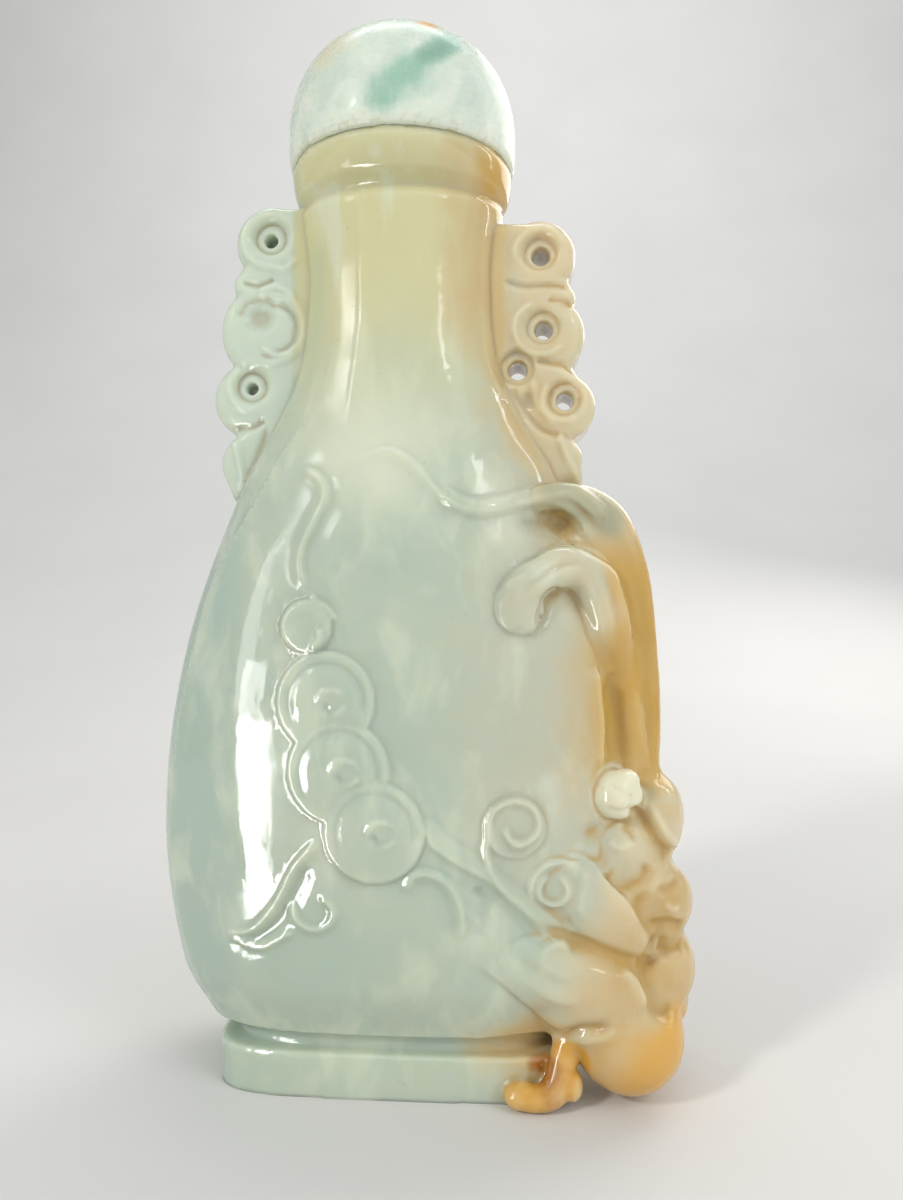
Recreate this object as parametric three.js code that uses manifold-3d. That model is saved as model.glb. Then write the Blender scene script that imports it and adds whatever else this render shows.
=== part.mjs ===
// A snuff bottle carved from one pebble of jade, with a domed jade stopper on a cork plug.
// Millimetres, +Z up. The origin is the centre of the foot's underside. The broad front
// faces -Y, and the carved fruit and leaves stand on the +X flank.

import * as THREE from 'three';
import { mergeVertices } from 'three/addons/utils/BufferGeometryUtils.js';
import Module from 'manifold-3d';

const wasm = await Module();
wasm.setup();

// ---------------------------------------------------------------- driving dimensions

const MOUTH_Z = 63.9; // plane of the mouth, where the stopper rests
const BORE_RADIUS = 3.5; // neck bore
const HANDLE_THICKNESS = 5.0; // depth of the fretwork handles, at mid-depth

// Outside of the bottle: height, half width, half depth, squareness (2 is an ellipse).
const FOOT = { top: 3.0, halfWidth: 12.4, halfDepth: 6.85, squareness: 5 };
const WAIST = { z: 3.6, halfWidth: 11.0, halfDepth: 6.0, squareness: 4 };
const BODY_STATIONS = [
  [4.3, 13.4, 7.0, 3.2],
  [8, 15.6, 8.5, 2.8],
  [18, 16.95, 9.4, 2.6],
  [30, 15.4, 8.7, 2.6],
  [42, 11.2, 6.9, 2.4],
  [46, 8.95, 6.1, 2.3],
  [50, 7.45, 5.6, 2.2],
  [56, 7.0, 5.2, 2.2],
  [60.4, 7.4, 5.5, 2.2],
  [61.1, 7.2, 5.4, 2.2],
  [61.9, 7.7, 6.6, 2.1],
  [63.3, 7.95, 7.6, 2.0],
  [MOUTH_Z, 7.75, 7.6, 2.0],
];
const BODY_RINGS = [
  4.3, 5.2, 7, 10, 15, 21, 27, 32, 36.5, 41, 44, 47, 50.5, 55, 60.4, 61.1, 61.9, 63.3, MOUTH_Z,
];

// Inside of the bottle, which leaves a wall of about 2.4 mm and a floor of 7.6 mm.
const CAVITY_STATIONS = [
  [7.6, 9.5, 4.6, 2.6],
  [9.5, 12.4, 6.0, 2.5],
  [18, 14.5, 7.0, 2.4],
  [30, 13.0, 6.3, 2.4],
  [40, 9.3, 4.9, 2.3],
  [46, 5.4, 3.9, 2.1],
  [50, BORE_RADIUS, BORE_RADIUS, 2],
  [MOUTH_Z + 1, BORE_RADIUS, BORE_RADIUS, 2],
];
const CAVITY_RINGS = [7.6, 9.5, 13, 19, 26, 33, 39, 43, 46.5, 50, MOUTH_Z + 1];

const STOPPER = { radius: 8.25, rimRadius: 7.9, height: 9.9, cheekHeight: 2.2, roundness: 2.2 };
const CORK = { topRadius: 3.38, endRadius: 3.1, length: 6.2 };

const BODY_SIDES = 30;
const CAVITY_SIDES = 18;
const STOPPER_SIDES = 26;

// ---------------------------------------------------------------- materials

const jadeMaterial = new THREE.MeshStandardMaterial({ color: 0xbcc9ae, roughness: 0.18 });
const stopperMaterial = new THREE.MeshStandardMaterial({ color: 0xd3e0da, roughness: 0.2 });
const corkMaterial = new THREE.MeshStandardMaterial({ color: 0x9a6f45, roughness: 0.85 });

// ---------------------------------------------------------------- solids

// A closed geometry as a solid: shared vertices are merged, and the triangles that
// shrink to a line at a pole are left out.
function solid(geometry) {
  geometry.deleteAttribute('normal');
  geometry.deleteAttribute('uv');
  const merged = mergeVertices(geometry, 1e-5);
  const index = merged.index.array;
  const triangles = [];
  for (let i = 0; i < index.length; i += 3) {
    const [a, b, c] = [index[i], index[i + 1], index[i + 2]];
    if (a !== b && b !== c && c !== a) triangles.push(a, b, c);
  }
  return new wasm.Manifold(new wasm.Mesh({
    numProp: 3,
    vertProperties: new Float32Array(merged.attributes.position.array),
    triVerts: new Uint32Array(triangles),
  }));
}

function geometryOf(manifold) {
  const mesh = manifold.getMesh();
  const geometry = new THREE.BufferGeometry();
  geometry.setAttribute('position', new THREE.BufferAttribute(mesh.vertProperties, 3));
  geometry.setIndex(new THREE.BufferAttribute(mesh.triVerts, 1));
  geometry.computeVertexNormals();
  return geometry;
}

function moveVertices(geometry, move) {
  const position = geometry.attributes.position;
  const vertex = new THREE.Vector3();
  for (let i = 0; i < position.count; i++) {
    vertex.fromBufferAttribute(position, i);
    move(vertex);
    position.setXYZ(i, vertex.x, vertex.y, vertex.z);
  }
  return geometry;
}

// A lathe about Z; the profile is a list of [radius, z] from bottom to top.
function lathe(profile, sides) {
  const points = profile.map(([radius, z]) => new THREE.Vector2(radius, z));
  return new THREE.LatheGeometry(points, sides).rotateX(Math.PI / 2);
}

// ---------------------------------------------------------------- sections

function stationSpline(stations) {
  const heights = stations.map((station) => station[0]);
  const values = stations.flatMap((station) => station.slice(1));
  const spline = new THREE.CubicInterpolant(heights, values, 3);
  return (z) => {
    const [halfWidth, halfDepth, squareness] = spline.evaluate(z);
    return { halfWidth, halfDepth, squareness };
  };
}

const bodySection = stationSpline(BODY_STATIONS);
const cavitySection = stationSpline(CAVITY_STATIONS);

// A stack of superellipse sections, closed flat at both ends.
function stack(rings, sectionAt, sides) {
  const ends = [rings[0], rings[rings.length - 1]];
  const profile = [[0, ends[0]], ...rings.map((z) => [1, z]), [0, ends[1]]];
  return moveVertices(lathe(profile, sides), (vertex) => {
    const radius = Math.hypot(vertex.x, vertex.y);
    if (radius < 1e-6) return;
    const { halfWidth, halfDepth, squareness } = sectionAt(vertex.z);
    const stretch = (value, half) => Math.sign(value) * half * Math.abs(value) ** (2 / squareness);
    vertex.x = stretch(vertex.x / radius, halfWidth);
    vertex.y = stretch(vertex.y / radius, halfDepth);
  });
}

// ---------------------------------------------------------------- carving helpers

function halfDepthAt(x, z) {
  const { halfWidth, halfDepth, squareness } = bodySection(z);
  const across = Math.min(Math.abs(x) / halfWidth, 0.995);
  return halfDepth * (1 - across ** squareness) ** (1 / squareness);
}

// Points on the front (-Y) and back (+Y) faces of the body.
const onFront = ([x, z]) => new THREE.Vector3(x, -halfDepthAt(x, z), z);
const onBack = ([x, z]) => new THREE.Vector3(-x, halfDepthAt(x, z), z);
const inSpace = ([x, y, z]) => new THREE.Vector3(x, y, z);

// A round bar along a curve through the points, its radius going evenly through the radii.
function limb(points, radii, sides = 5, steps = 2 * (points.length - 1)) {
  const curve = new THREE.CatmullRomCurve3(points);
  const frames = curve.computeFrenetFrames(steps);
  const bar = new THREE.CylinderGeometry(1, 1, 1, sides, steps);
  return solid(moveVertices(bar, (vertex) => {
    const step = Math.round((vertex.y + 0.5) * steps);
    const along = (step / steps) * (radii.length - 1);
    const before = Math.min(Math.floor(along), radii.length - 2);
    const radius = THREE.MathUtils.lerp(radii[before], radii[before + 1], along - before);
    const offset = frames.normals[step].clone().multiplyScalar(radius * vertex.x);
    offset.addScaledVector(frames.binormals[step], -radius * vertex.z);
    vertex.copy(curve.getPointAt(step / steps)).add(offset);
  }));
}

// The [x, z] points of a scroll that winds in from its rim towards its eye.
function volute([centreX, centreZ], radius, fromDegrees, sweepDegrees) {
  const count = Math.round(Math.abs(sweepDegrees) / 50);
  return Array.from({ length: count + 1 }, (_, i) => {
    const angle = THREE.MathUtils.degToRad(fromDegrees + (sweepDegrees * i) / count);
    const reach = radius * (1 - 0.72 * (i / count) ** 1.2);
    return [centreX + reach * Math.cos(angle), centreZ + reach * Math.sin(angle)];
  });
}

function lump([x, y, z], [radiusX, radiusY, radiusZ], sides = 9) {
  const ball = new THREE.SphereGeometry(1, sides, Math.round(sides * 0.6));
  return solid(ball.rotateX(Math.PI / 2).scale(radiusX, radiusY, radiusZ).translate(x, y, z));
}

// ---------------------------------------------------------------- body, foot and collar

function bottleOutside() {
  const footRings = [0, 0.35, FOOT.top - 0.3, FOOT.top];
  const footInset = 0.3;
  const foot = stack(footRings, (z) => {
    const inset = z < 0.1 || z > FOOT.top - 0.1 ? footInset : 0;
    return {
      halfWidth: FOOT.halfWidth - inset,
      halfDepth: FOOT.halfDepth - inset,
      squareness: FOOT.squareness,
    };
  }, BODY_SIDES);
  const waist = stack([FOOT.top - 1, WAIST.z + 2], () => WAIST, BODY_SIDES);
  const body = stack(BODY_RINGS, bodySection, BODY_SIDES);
  return solid(foot).add(solid(waist)).add(solid(body));
}

// ---------------------------------------------------------------- scroll handles

// Each handle is a fretted plate: scrolls [x, z, radius] down its edge with a bead
// between the first two, and a leaf that runs out onto the shoulder. x is measured
// outwards from the bottle's axis.
const HANDLES = [
  {
    side: -1,
    root: [[9.8, 41], [7.4, 45], [6, 52], [6, 60.8]],
    scrolls: [[9.2, 58.6, 2.4], [10.9, 55.6, 0.9], [9.3, 52.3, 3.4], [10.7, 47.4, 2.5]],
    leaf: [10.9, 42.8, 1.8],
    leafTip: [11.6, 39.9],
    holes: [[9.3, 58.8, 0.6], [10.7, 48.2, 0.6]],
    dishes: [[9.1, 53.2, 1.6]],
  },
  {
    side: 1,
    root: [[10.4, 41.6], [7.4, 45], [6, 51], [6, 59.6]],
    scrolls: [[9.9, 57.2, 2.5], [11.5, 54.3, 0.9], [10.3, 51.7, 2.75], [11.5, 46.6, 2.3]],
    leaf: [11.6, 43, 1.3],
    leafTip: [13, 40.8],
    holes: [[10, 57.2, 0.6], [10.2, 52, 0.6], [8.4, 49.2, 0.55], [11.7, 47, 0.6]],
    dishes: [],
  },
];
const HANDLE_BEVEL = 0.8;
const SCROLL_SWEEPS = [[110, -40], [50, -50], [42, -50], [60, -75]]; // degrees, outer arcs

function handle({ side, root, scrolls, leaf, leafTip, holes, dishes }) {
  const toRadians = (degrees) => THREE.MathUtils.degToRad(side > 0 ? degrees : 180 - degrees);
  const outline = new THREE.Shape();
  outline.setFromPoints(root.map(([x, z]) => new THREE.Vector2(side * x, z)));
  const arc = ([x, z, radius], [from, to]) => {
    outline.absarc(side * x, z, radius, toRadians(from), toRadians(to), side > 0);
  };
  scrolls.forEach((scroll, i) => arc(scroll, SCROLL_SWEEPS[i]));
  arc(leaf, [50, -20]);
  outline.lineTo(side * leafTip[0], leafTip[1]);
  for (const [x, z, radius] of holes) {
    outline.holes.push(new THREE.Path().absarc(side * x, z, radius, 0, 2 * Math.PI));
  }
  const plate = new THREE.ExtrudeGeometry(outline, {
    depth: HANDLE_THICKNESS - 2 * HANDLE_BEVEL,
    bevelThickness: HANDLE_BEVEL,
    bevelSize: 0.5,
    bevelOffset: -0.5,
    bevelSegments: 1,
    curveSegments: 3,
  });
  plate.translate(0, 0, HANDLE_BEVEL - HANDLE_THICKNESS / 2).rotateX(Math.PI / 2);
  const faces = [-HANDLE_THICKNESS / 2, HANDLE_THICKNESS / 2];
  const scoops = dishes.flatMap(([x, z, radius]) => (
    faces.map((y) => lump([side * x, y, z], [radius, 1.1, radius]))));
  return scoops.reduce((whole, scoop) => whole.subtract(scoop), solid(plate));
}

// ---------------------------------------------------------------- relief on the front

const RIDGE = 0.5; // radius of the raised lines of the relief

function frontScrolls() {
  const lines = [
    volute([-3.8, 26.5], 3.2, 215, -425),
    volute([-2.9, 22.2], 3.2, 235, -440),
    [[11.6, 9.6], [9.6, 12.4], [7.2, 14.9], [4.4, 16.9], ...volute([-0.8, 18.3], 3.1, 25, 440)],
    [[8.9, 12.0], [7.4, 14.6], ...volute([8.3, 18.8], 2.1, 195, -400)],
    [[15.2, 8.6], [13.6, 12.2], ...volute([11.0, 14.8], 2.1, 5, 400)],
  ];
  return lines.map((line) => limb(line.map(onFront), [0.4, 1, 1, 1, 0.8].map((k) => k * RIDGE)));
}

function frontLines() {
  const stem = [[-5.0, 41.3], [-4.2, 39.9], [-4.7, 38.2], [-5.6, 36.4], [-5.6, 34.7], [-5.2, 33.4]];
  const wing = [[-3.4, 41.2], [-0.7, 42.6], [1.4, 42.2], [3.2, 40.2], [4.4, 38.9]];
  const cloudTop = [[-10.9, 11.3], [-8.9, 11.7], [-7.2, 13.5], [-5.8, 16.1], [-4.2, 17.9]];
  const cloudFoot = [[-10.6, 11.0], [-8.3, 10.7], [-6.1, 12.2]];
  const curl = volute([-4.3, 13.4], 1.75, 165, 260);
  const smallCurl = [[1.3, 14.5], [1.7, 15.7], [2.9, 15.9], [4.2, 15.1], [4.9, 13.2], [4.8, 11.4]];
  const taper = [0.35, 1, 1, 0.5].map((k) => k * RIDGE);
  return [stem, wing, cloudTop, cloudFoot, curl, smallCurl].map((line) => (
    limb(line.map(onFront), taper)));
}

// Low cushions inside the scrolls and the bud.
function frontCushions() {
  const cushions = [[-5.25, 31.5, 1.85, 0.75], [-3.9, 26.4, 1.9, 0.7], [-3.0, 22.1, 1.9, 0.7]];
  return cushions.map(([x, z, radius, height]) => {
    const centre = onFront([x, z]);
    return lump(centre.toArray(), [radius, height, radius]);
  });
}

// ---------------------------------------------------------------- branch and fungus hook

function branch() {
  const face = [[5.0, 39.0], [6.6, 39.6], [8.6, 40.1], [10.2, 40.6]].map(onFront);
  const shoulder = [[12.6, -3.6, 40.2], [14.9, -2.8, 38.2], [16.2, -2.4, 34.4], [16.8, -2.4, 29.6],
    [17.1, -2.6, 25.2], [16.9, -3.2, 21.6]].map(inSpace);
  const radii = [0.4, 0.5, 0.6, 0.8, 1.2, 1.4, 1.4, 1.3, 1.2, 1.2];
  const web = [[9.6, -2.6, 40.2], [12.2, -2.4, 38.0], [14.0, -2.2, 34.4], [15.2, -2.2, 29.6],
    [15.6, -2.4, 25.0]].map(inSpace);
  return limb([...face, ...shoulder], radii, 7, 16).add(limb(web, [1, 1.8, 1.8, 1.6, 1], 6, 4));
}

function fungusHook() {
  const arch = [[8.0, -7.6, 31.6], [8.7, -7.5, 33.6], [10.4, -7.0, 35.2], [12.6, -6.0, 35.2],
    [14.2, -5.0, 33.0], [14.7, -4.8, 30.4], [14.5, -5.0, 28.2]].map(inSpace);
  const bulb = lump([8.5, -7.7, 32.3], [1.75, 1.2, 1.75]);
  return limb(arch, [1.1, 1.2, 1.2, 1.3, 1.3, 1.0, 0.4], 7, 12).add(bulb);
}

// ---------------------------------------------------------------- fruit and leaves

const LUMPS = [
  { at: [14.9, -6.3, 20.3], radii: [1.6, 1.6, 1.6] }, // bead at the top of the bunch
  { at: [16.9, -3.2, 17.9], radii: [2.6, 3.0, 3.4] },
  { at: [15.3, -6.0, 16.4], radii: [1.7, 1.7, 1.8] },
  { at: [18.0, -3.4, 12.9], radii: [2.2, 2.8, 2.2] },
  { at: [17.9, -2.6, 8.4], radii: [2.5, 2.8, 2.8] },
  { at: [18.3, -1.2, 5.0], radii: [2.0, 2.4, 2.2] },
  { at: [17.2, 0.8, 15.0], radii: [2.4, 3.2, 4.0] },
  { at: [17.0, 1.2, 8.6], radii: [2.6, 3.6, 3.8] },
];
const BALL = { at: [15.7, -5.0, 4.1], radius: 3.75 };

function fruitBunch() {
  const pieces = LUMPS.map(({ at, radii }) => lump(at, radii));
  pieces.push(lump(BALL.at, [BALL.radius, BALL.radius, BALL.radius], 12));
  const upperLeaf = [[11.6, -7.4, 15.8], [13.4, -6.9, 13.4], [15.2, -6.4, 10.6], [16.6, -5.8, 8.0]];
  pieces.push(limb(upperLeaf.map(inSpace), [0.9, 1.7, 1.9, 1.5], 8, 6));
  const lowerLeaf = [[5.4, -8.2, 12.6], [8.0, -8.0, 11.0], [11.0, -7.7, 9.3], [13.6, -6.8, 6.6]];
  pieces.push(limb(lowerLeaf.map(inSpace), [0.7, 1.6, 2.1, 2.4], 8, 7));
  return pieces;
}

// A small curl of the same stone on the ground line, in front of the foot's right corner.
function footCurl() {
  const curl = [[7.9, -7.4, 0.85], [9.6, -8.0, 0.9], [11.2, -7.6, 1.1], [11.9, -6.4, 1.9],
    [11.8, -5.6, 3.2], [12.2, -5.4, 4.6]].map(inSpace);
  return limb(curl, [0.75, 0.85, 0.9, 0.95, 1.0, 1.1], 6, 7);
}

// ---------------------------------------------------------------- relief on the back

// The same motifs, fewer and lower: a stem, two scrolls and a wave line.
function backRelief() {
  const lines = [
    volute([-3.6, 25.2], 3.0, 215, -340),
    [[9.5, 14.0], [5.6, 15.2], ...volute([-0.6, 18.2], 3.0, 20, 340)],
    [[-4.6, 40.4], [-4.9, 36.4], [-5.4, 32.6], [-4.4, 29.2]],
    [[-3.0, 41.8], [-0.6, 42.8], [1.6, 42.2], [4.2, 39.4], [8.4, 39.8], [11.4, 38.4]],
  ];
  return lines.map((line) => limb(line.map(onBack), [0.4, 1, 1, 0.5].map((k) => k * RIDGE)));
}

// ---------------------------------------------------------------- assembly

function bottle() {
  const carving = [
    bottleOutside(), ...HANDLES.map(handle),
    ...frontScrolls(), ...frontLines(), ...frontCushions(),
    branch(), fungusHook(), ...fruitBunch(), footCurl(), ...backRelief(),
  ];
  const outside = wasm.Manifold.union(carving);
  return outside.subtract(solid(stack(CAVITY_RINGS, cavitySection, CAVITY_SIDES)));
}

function stopper() {
  const dome = [];
  const capSteps = 7;
  for (let i = 0; i <= capSteps; i++) {
    const angle = (Math.PI / 2) * (i / capSteps);
    const rise = STOPPER.height - STOPPER.cheekHeight;
    const round = (value) => Math.max(value, 0) ** (2 / STOPPER.roundness);
    const radius = i === capSteps ? 0 : STOPPER.radius * round(Math.cos(angle));
    dome.push([radius, MOUTH_Z + STOPPER.cheekHeight + rise * round(Math.sin(angle))]);
  }
  const rim = [[0, MOUTH_Z], [STOPPER.rimRadius, MOUTH_Z], [STOPPER.radius - 0.05, MOUTH_Z + 0.6]];
  return solid(lathe([...rim, ...dome], STOPPER_SIDES));
}

function cork() {
  const { topRadius, endRadius, length } = CORK;
  const bottom = MOUTH_Z - length;
  const profile = [[0, bottom], [endRadius - 0.4, bottom], [endRadius, bottom + 0.5],
    [topRadius, MOUTH_Z], [0, MOUTH_Z]];
  return solid(lathe(profile, CAVITY_SIDES));
}

function named(name, manifold, material) {
  const mesh = new THREE.Mesh(geometryOf(manifold), material);
  mesh.name = name;
  return mesh;
}

const group = new THREE.Group();
group.add(
  named('bottle', bottle(), jadeMaterial),
  named('stopper', stopper(), stopperMaterial),
  named('cork', cork(), corkMaterial),
);

export default group;
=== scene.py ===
import math

import bmesh
import bpy
import numpy as np
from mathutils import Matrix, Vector


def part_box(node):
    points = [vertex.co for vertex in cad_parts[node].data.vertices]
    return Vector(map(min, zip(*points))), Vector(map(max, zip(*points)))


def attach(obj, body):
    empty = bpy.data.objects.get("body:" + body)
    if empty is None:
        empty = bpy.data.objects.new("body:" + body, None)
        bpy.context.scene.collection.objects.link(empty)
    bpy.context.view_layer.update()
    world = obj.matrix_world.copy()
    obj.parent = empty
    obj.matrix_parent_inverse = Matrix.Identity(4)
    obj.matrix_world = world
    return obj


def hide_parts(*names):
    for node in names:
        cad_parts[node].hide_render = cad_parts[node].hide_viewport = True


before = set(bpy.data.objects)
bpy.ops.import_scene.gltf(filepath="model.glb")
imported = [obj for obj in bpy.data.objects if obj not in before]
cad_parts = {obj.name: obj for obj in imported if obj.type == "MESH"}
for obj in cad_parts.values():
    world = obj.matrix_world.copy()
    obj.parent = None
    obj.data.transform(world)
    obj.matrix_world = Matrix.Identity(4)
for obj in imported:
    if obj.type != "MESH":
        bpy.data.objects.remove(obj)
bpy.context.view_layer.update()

# A snuff bottle carved from one pebble of jade, its domed stopper and its cork.
# Tables are in millimetres from the centre of the foot's underside, +Z up. The broad
# front faces -Y, and the carved fruit stands on the +X flank.

MM = 0.001

# ---------------------------------------------------------------- sizes from the frame

bottle_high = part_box("bottle")[1]
stopper_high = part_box("stopper")[1]
cork_low, cork_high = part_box("cork")

MOUTH_Z = bottle_high.z / MM
STOPPER_RADIUS = stopper_high.x / MM
STOPPER_TOP = stopper_high.z / MM
CORK_RADIUS = cork_high.x / MM
CORK_LENGTH = (cork_high.z - cork_low.z) / MM
BORE_RADIUS = 3.5
HANDLE_THICKNESS = 5.0

GRAIN = 0.18  # width of the faces that the carving is worked in
MOST_FACES = 194000  # triangles of the finished bottle

# Half width, half depth and squareness (2 is an ellipse) of the plain foot and waist, and the
# same of the body and its cavity at each height, which comes first.
FOOT_TOP = 3.0
FOOT = (12.4, 6.85, 5.0)
WAIST = (11.0, 6.0, 4.0)
BODY_BOTTOM = 4.3
BODY_STATIONS = [
    (BODY_BOTTOM, 13.4, 7.0, 3.2),
    (8.0, 15.6, 8.5, 2.8),
    (18.0, 16.95, 9.4, 2.6),
    (30.0, 15.4, 8.7, 2.6),
    (42.0, 11.2, 6.9, 2.4),
    (46.0, 8.95, 6.1, 2.3),
    (50.0, 7.45, 5.6, 2.2),
    (56.0, 7.0, 5.2, 2.2),
    (60.4, 7.4, 5.5, 2.2),
    (61.1, 7.2, 5.4, 2.2),
    (61.9, 7.7, 6.6, 2.1),
    (63.3, 7.95, 7.6, 2.0),
    (MOUTH_Z, 7.75, 7.6, 2.0),
]
CAVITY_STATIONS = [
    (7.6, 9.5, 4.6, 2.6),
    (9.5, 12.4, 6.0, 2.5),
    (18.0, 14.5, 7.0, 2.4),
    (30.0, 13.0, 6.3, 2.4),
    (40.0, 9.3, 4.9, 2.3),
    (46.0, 5.4, 3.9, 2.1),
    (50.0, BORE_RADIUS, BORE_RADIUS, 2.0),
    (MOUTH_Z + 1.0, BORE_RADIUS, BORE_RADIUS, 2.0),
]

# ---------------------------------------------------------------- curves and sections


def stations_at(stations, z):
    """The stations' values at the heights z, joined by a smooth curve."""
    table = np.array(stations)
    heights, values = table[:, 0], table[:, 1:]
    slopes = np.gradient(values, heights, axis=0)
    slopes[1:-1] = (values[2:] - values[:-2]) / (heights[2:] - heights[:-2])[:, None]
    z = np.clip(z, heights[0], heights[-1])
    i = np.clip(np.searchsorted(heights, z) - 1, 0, len(heights) - 2)
    span = (heights[i + 1] - heights[i])[:, None]
    t = (z - heights[i])[:, None] / span
    before = (1 + 2 * t) * (1 - t) ** 2 * values[i] + t * (1 - t) ** 2 * span * slopes[i]
    after = t * t * (3 - 2 * t) * values[i + 1] - t * t * (1 - t) * span * slopes[i + 1]
    return (before + after).T


def smooth_path(points, per_span=12):
    """Many points on a smooth curve through the given ones."""
    points = np.array(points, float)
    ghost = np.vstack([2 * points[0] - points[1], points, 2 * points[-1] - points[-2]])
    t = np.linspace(0, 1, per_span, endpoint=False)[:, None]
    spans = []
    for p0, p1, p2, p3 in zip(ghost, ghost[1:], ghost[2:], ghost[3:]):
        bend = (p2 - p0) * t + (2 * p0 - 5 * p1 + 4 * p2 - p3) * t**2
        spans.append(p1 + 0.5 * (bend + (3 * p1 - p0 - 3 * p2 + p3) * t**3))
    return np.vstack(spans + [points[-1:]])


def smoothstep(low, high, value):
    """0 up to low and 1 from high on, with a soft rise between them."""
    t = np.clip((value - low) / (high - low), 0, 1)
    return t * t * (3 - 2 * t)


def plain_section(z, sizes):
    """The same half width, half depth and squareness at every height."""
    return [np.full(len(z), size) for size in sizes]


def depth_at(x, z):
    """Half depth of the body at x and height z."""
    half_width, half_depth, squareness = stations_at(BODY_STATIONS, z)
    across = np.minimum(np.abs(x) / half_width, 0.995)
    return half_depth * (1 - across**squareness) ** (1 / squareness)


def stand_off(points):
    """Each point's place against the body's ideal outside.

    The first number is 1 on that outside and less within it, and the second is the gap in millimetres.
    """
    x, y, z = points.T
    half_width, half_depth, squareness = stations_at(BODY_STATIONS, z)
    ratio = np.abs(x / half_width) ** squareness + np.abs(y / half_depth) ** squareness
    ratio = np.maximum(ratio, 1e-6) ** (1 / squareness)
    return ratio, np.abs(np.hypot(x, y) * (1 - 1 / ratio))


def on_face(points, side=-1):
    """[x, z] points laid on the front (side -1) or mirrored onto the back (side 1)."""
    flat = np.array(points, float)
    y = side * depth_at(flat[:, 0], flat[:, 1])
    return np.column_stack([-side * flat[:, 0], y, flat[:, 1]])


def arc(centre_x, centre_z, radius, sweep, steps=18):
    """(x, z) points of a round stretch, swept between two angles in degrees."""
    angles = np.radians(np.linspace(*sweep, steps))
    return [(centre_x + radius * math.cos(a), centre_z + radius * math.sin(a)) for a in angles]


def volute(centre, radius, start, sweep, steps=36):
    """[x, z] points of a scroll that winds in from its rim towards its eye."""
    t = np.linspace(0, 1, steps)
    angle = np.radians(start + sweep * t)
    reach = radius * (1 - 0.72 * t**1.2)
    return np.column_stack([centre[0] + reach * np.cos(angle), centre[1] + reach * np.sin(angle)])


# ---------------------------------------------------------------- modelling helpers


def blot(points, centre, radii):
    """1 at the centre of an oval patch, fading to 0 outside it."""
    return np.exp(-(((points - centre) / radii) ** 2).sum(1))


def strip(points, start, end, radius):
    """1 along a straight stroke, fading to 0 beside it."""
    start, end = np.array(start), np.array(end)
    run = end - start
    along = np.clip((points - start) @ run / (run @ run), 0, 1)
    gap = np.linalg.norm(points - start - along[:, None] * run, axis=1)
    return np.exp(-((gap / radius) ** 2))


def deselect():
    if bpy.context.object and bpy.context.object.mode != "OBJECT":
        bpy.ops.object.mode_set(mode="OBJECT")
    bpy.ops.object.select_all(action="DESELECT")


def make_active(piece):
    deselect()
    piece.select_set(True)
    bpy.context.view_layer.objects.active = piece


def place(piece):
    """The piece's place, turn and scale go into its mesh."""
    make_active(piece)
    bpy.ops.object.transform_apply(location=True, rotation=True, scale=True)
    return piece


def modify(piece, kind, **settings):
    """Adds a modifier and applies it."""
    make_active(piece)
    modifier = piece.modifiers.new(kind.title(), kind)
    for name, value in settings.items():
        setattr(modifier, name, value)
    bpy.ops.object.modifier_apply(modifier=modifier.name)
    return piece


def join(name, pieces):
    deselect()
    for piece in pieces:
        piece.select_set(True)
    bpy.context.view_layer.objects.active = pieces[0]
    bpy.ops.object.join()
    whole = bpy.context.object
    whole.name = whole.data.name = name
    return whole


def points_of(piece):
    """The mesh's points, in millimetres."""
    flat = np.empty(len(piece.data.vertices) * 3)
    piece.data.vertices.foreach_get("co", flat)
    return flat.reshape(-1, 3) / MM


def normals_of(piece):
    flat = np.empty(len(piece.data.vertices) * 3)
    piece.data.vertex_normals.foreach_get("vector", flat)
    return flat.reshape(-1, 3)


def move_points(piece, points):
    piece.data.vertices.foreach_set("co", (points * MM).ravel())
    piece.data.update()


def edges_of(piece):
    """The indices of every edge's two ends."""
    edges = np.empty(len(piece.data.edges) * 2, int)
    piece.data.edges.foreach_get("vertices", edges)
    return edges.reshape(-1, 2).T


def neighbour_sum(column, first, second):
    """Adds up each point's neighbours along the edges from first to second."""
    total = np.bincount(first, column[second], len(column))
    total += np.bincount(second, column[first], len(column))
    return total


def stand(name, data):
    """Puts a new curve or mesh in the scene and makes it the active piece."""
    piece = bpy.data.objects.new(name, data)
    bpy.context.collection.objects.link(piece)
    make_active(piece)
    return piece


def paint(piece, name, values):
    """Stores one number per point, for the materials."""
    layer = piece.data.attributes.new(name, "FLOAT", "POINT")
    layer.data.foreach_set("value", np.asarray(values, float))


def ring_stack(name, heights, section, sides):
    """A closed stack of rings: a disc extruded up from ring to ring, then shaped."""
    deselect()
    bpy.ops.mesh.primitive_circle_add(
        vertices=sides, radius=MM, fill_type="NGON", location=(0, 0, heights[0] * MM)
    )
    piece = bpy.context.object
    piece.name = name
    bpy.ops.object.mode_set(mode="EDIT")
    for low, high in zip(heights, heights[1:]):
        bpy.ops.mesh.extrude_region_move(
            TRANSFORM_OT_translate={"value": (0, 0, (high - low) * MM)}
        )
    bpy.ops.mesh.select_all(action="SELECT")
    bpy.ops.mesh.normals_make_consistent(inside=False)
    bpy.ops.object.mode_set(mode="OBJECT")
    place(piece)
    points = points_of(piece)
    half_width, half_depth, squareness = section(points[:, 2])
    for axis, half in ((0, half_width), (1, half_depth)):
        unit = points[:, axis]
        points[:, axis] = np.sign(unit) * half * np.abs(unit) ** (2 / squareness)
    move_points(piece, points)
    return piece


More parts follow.
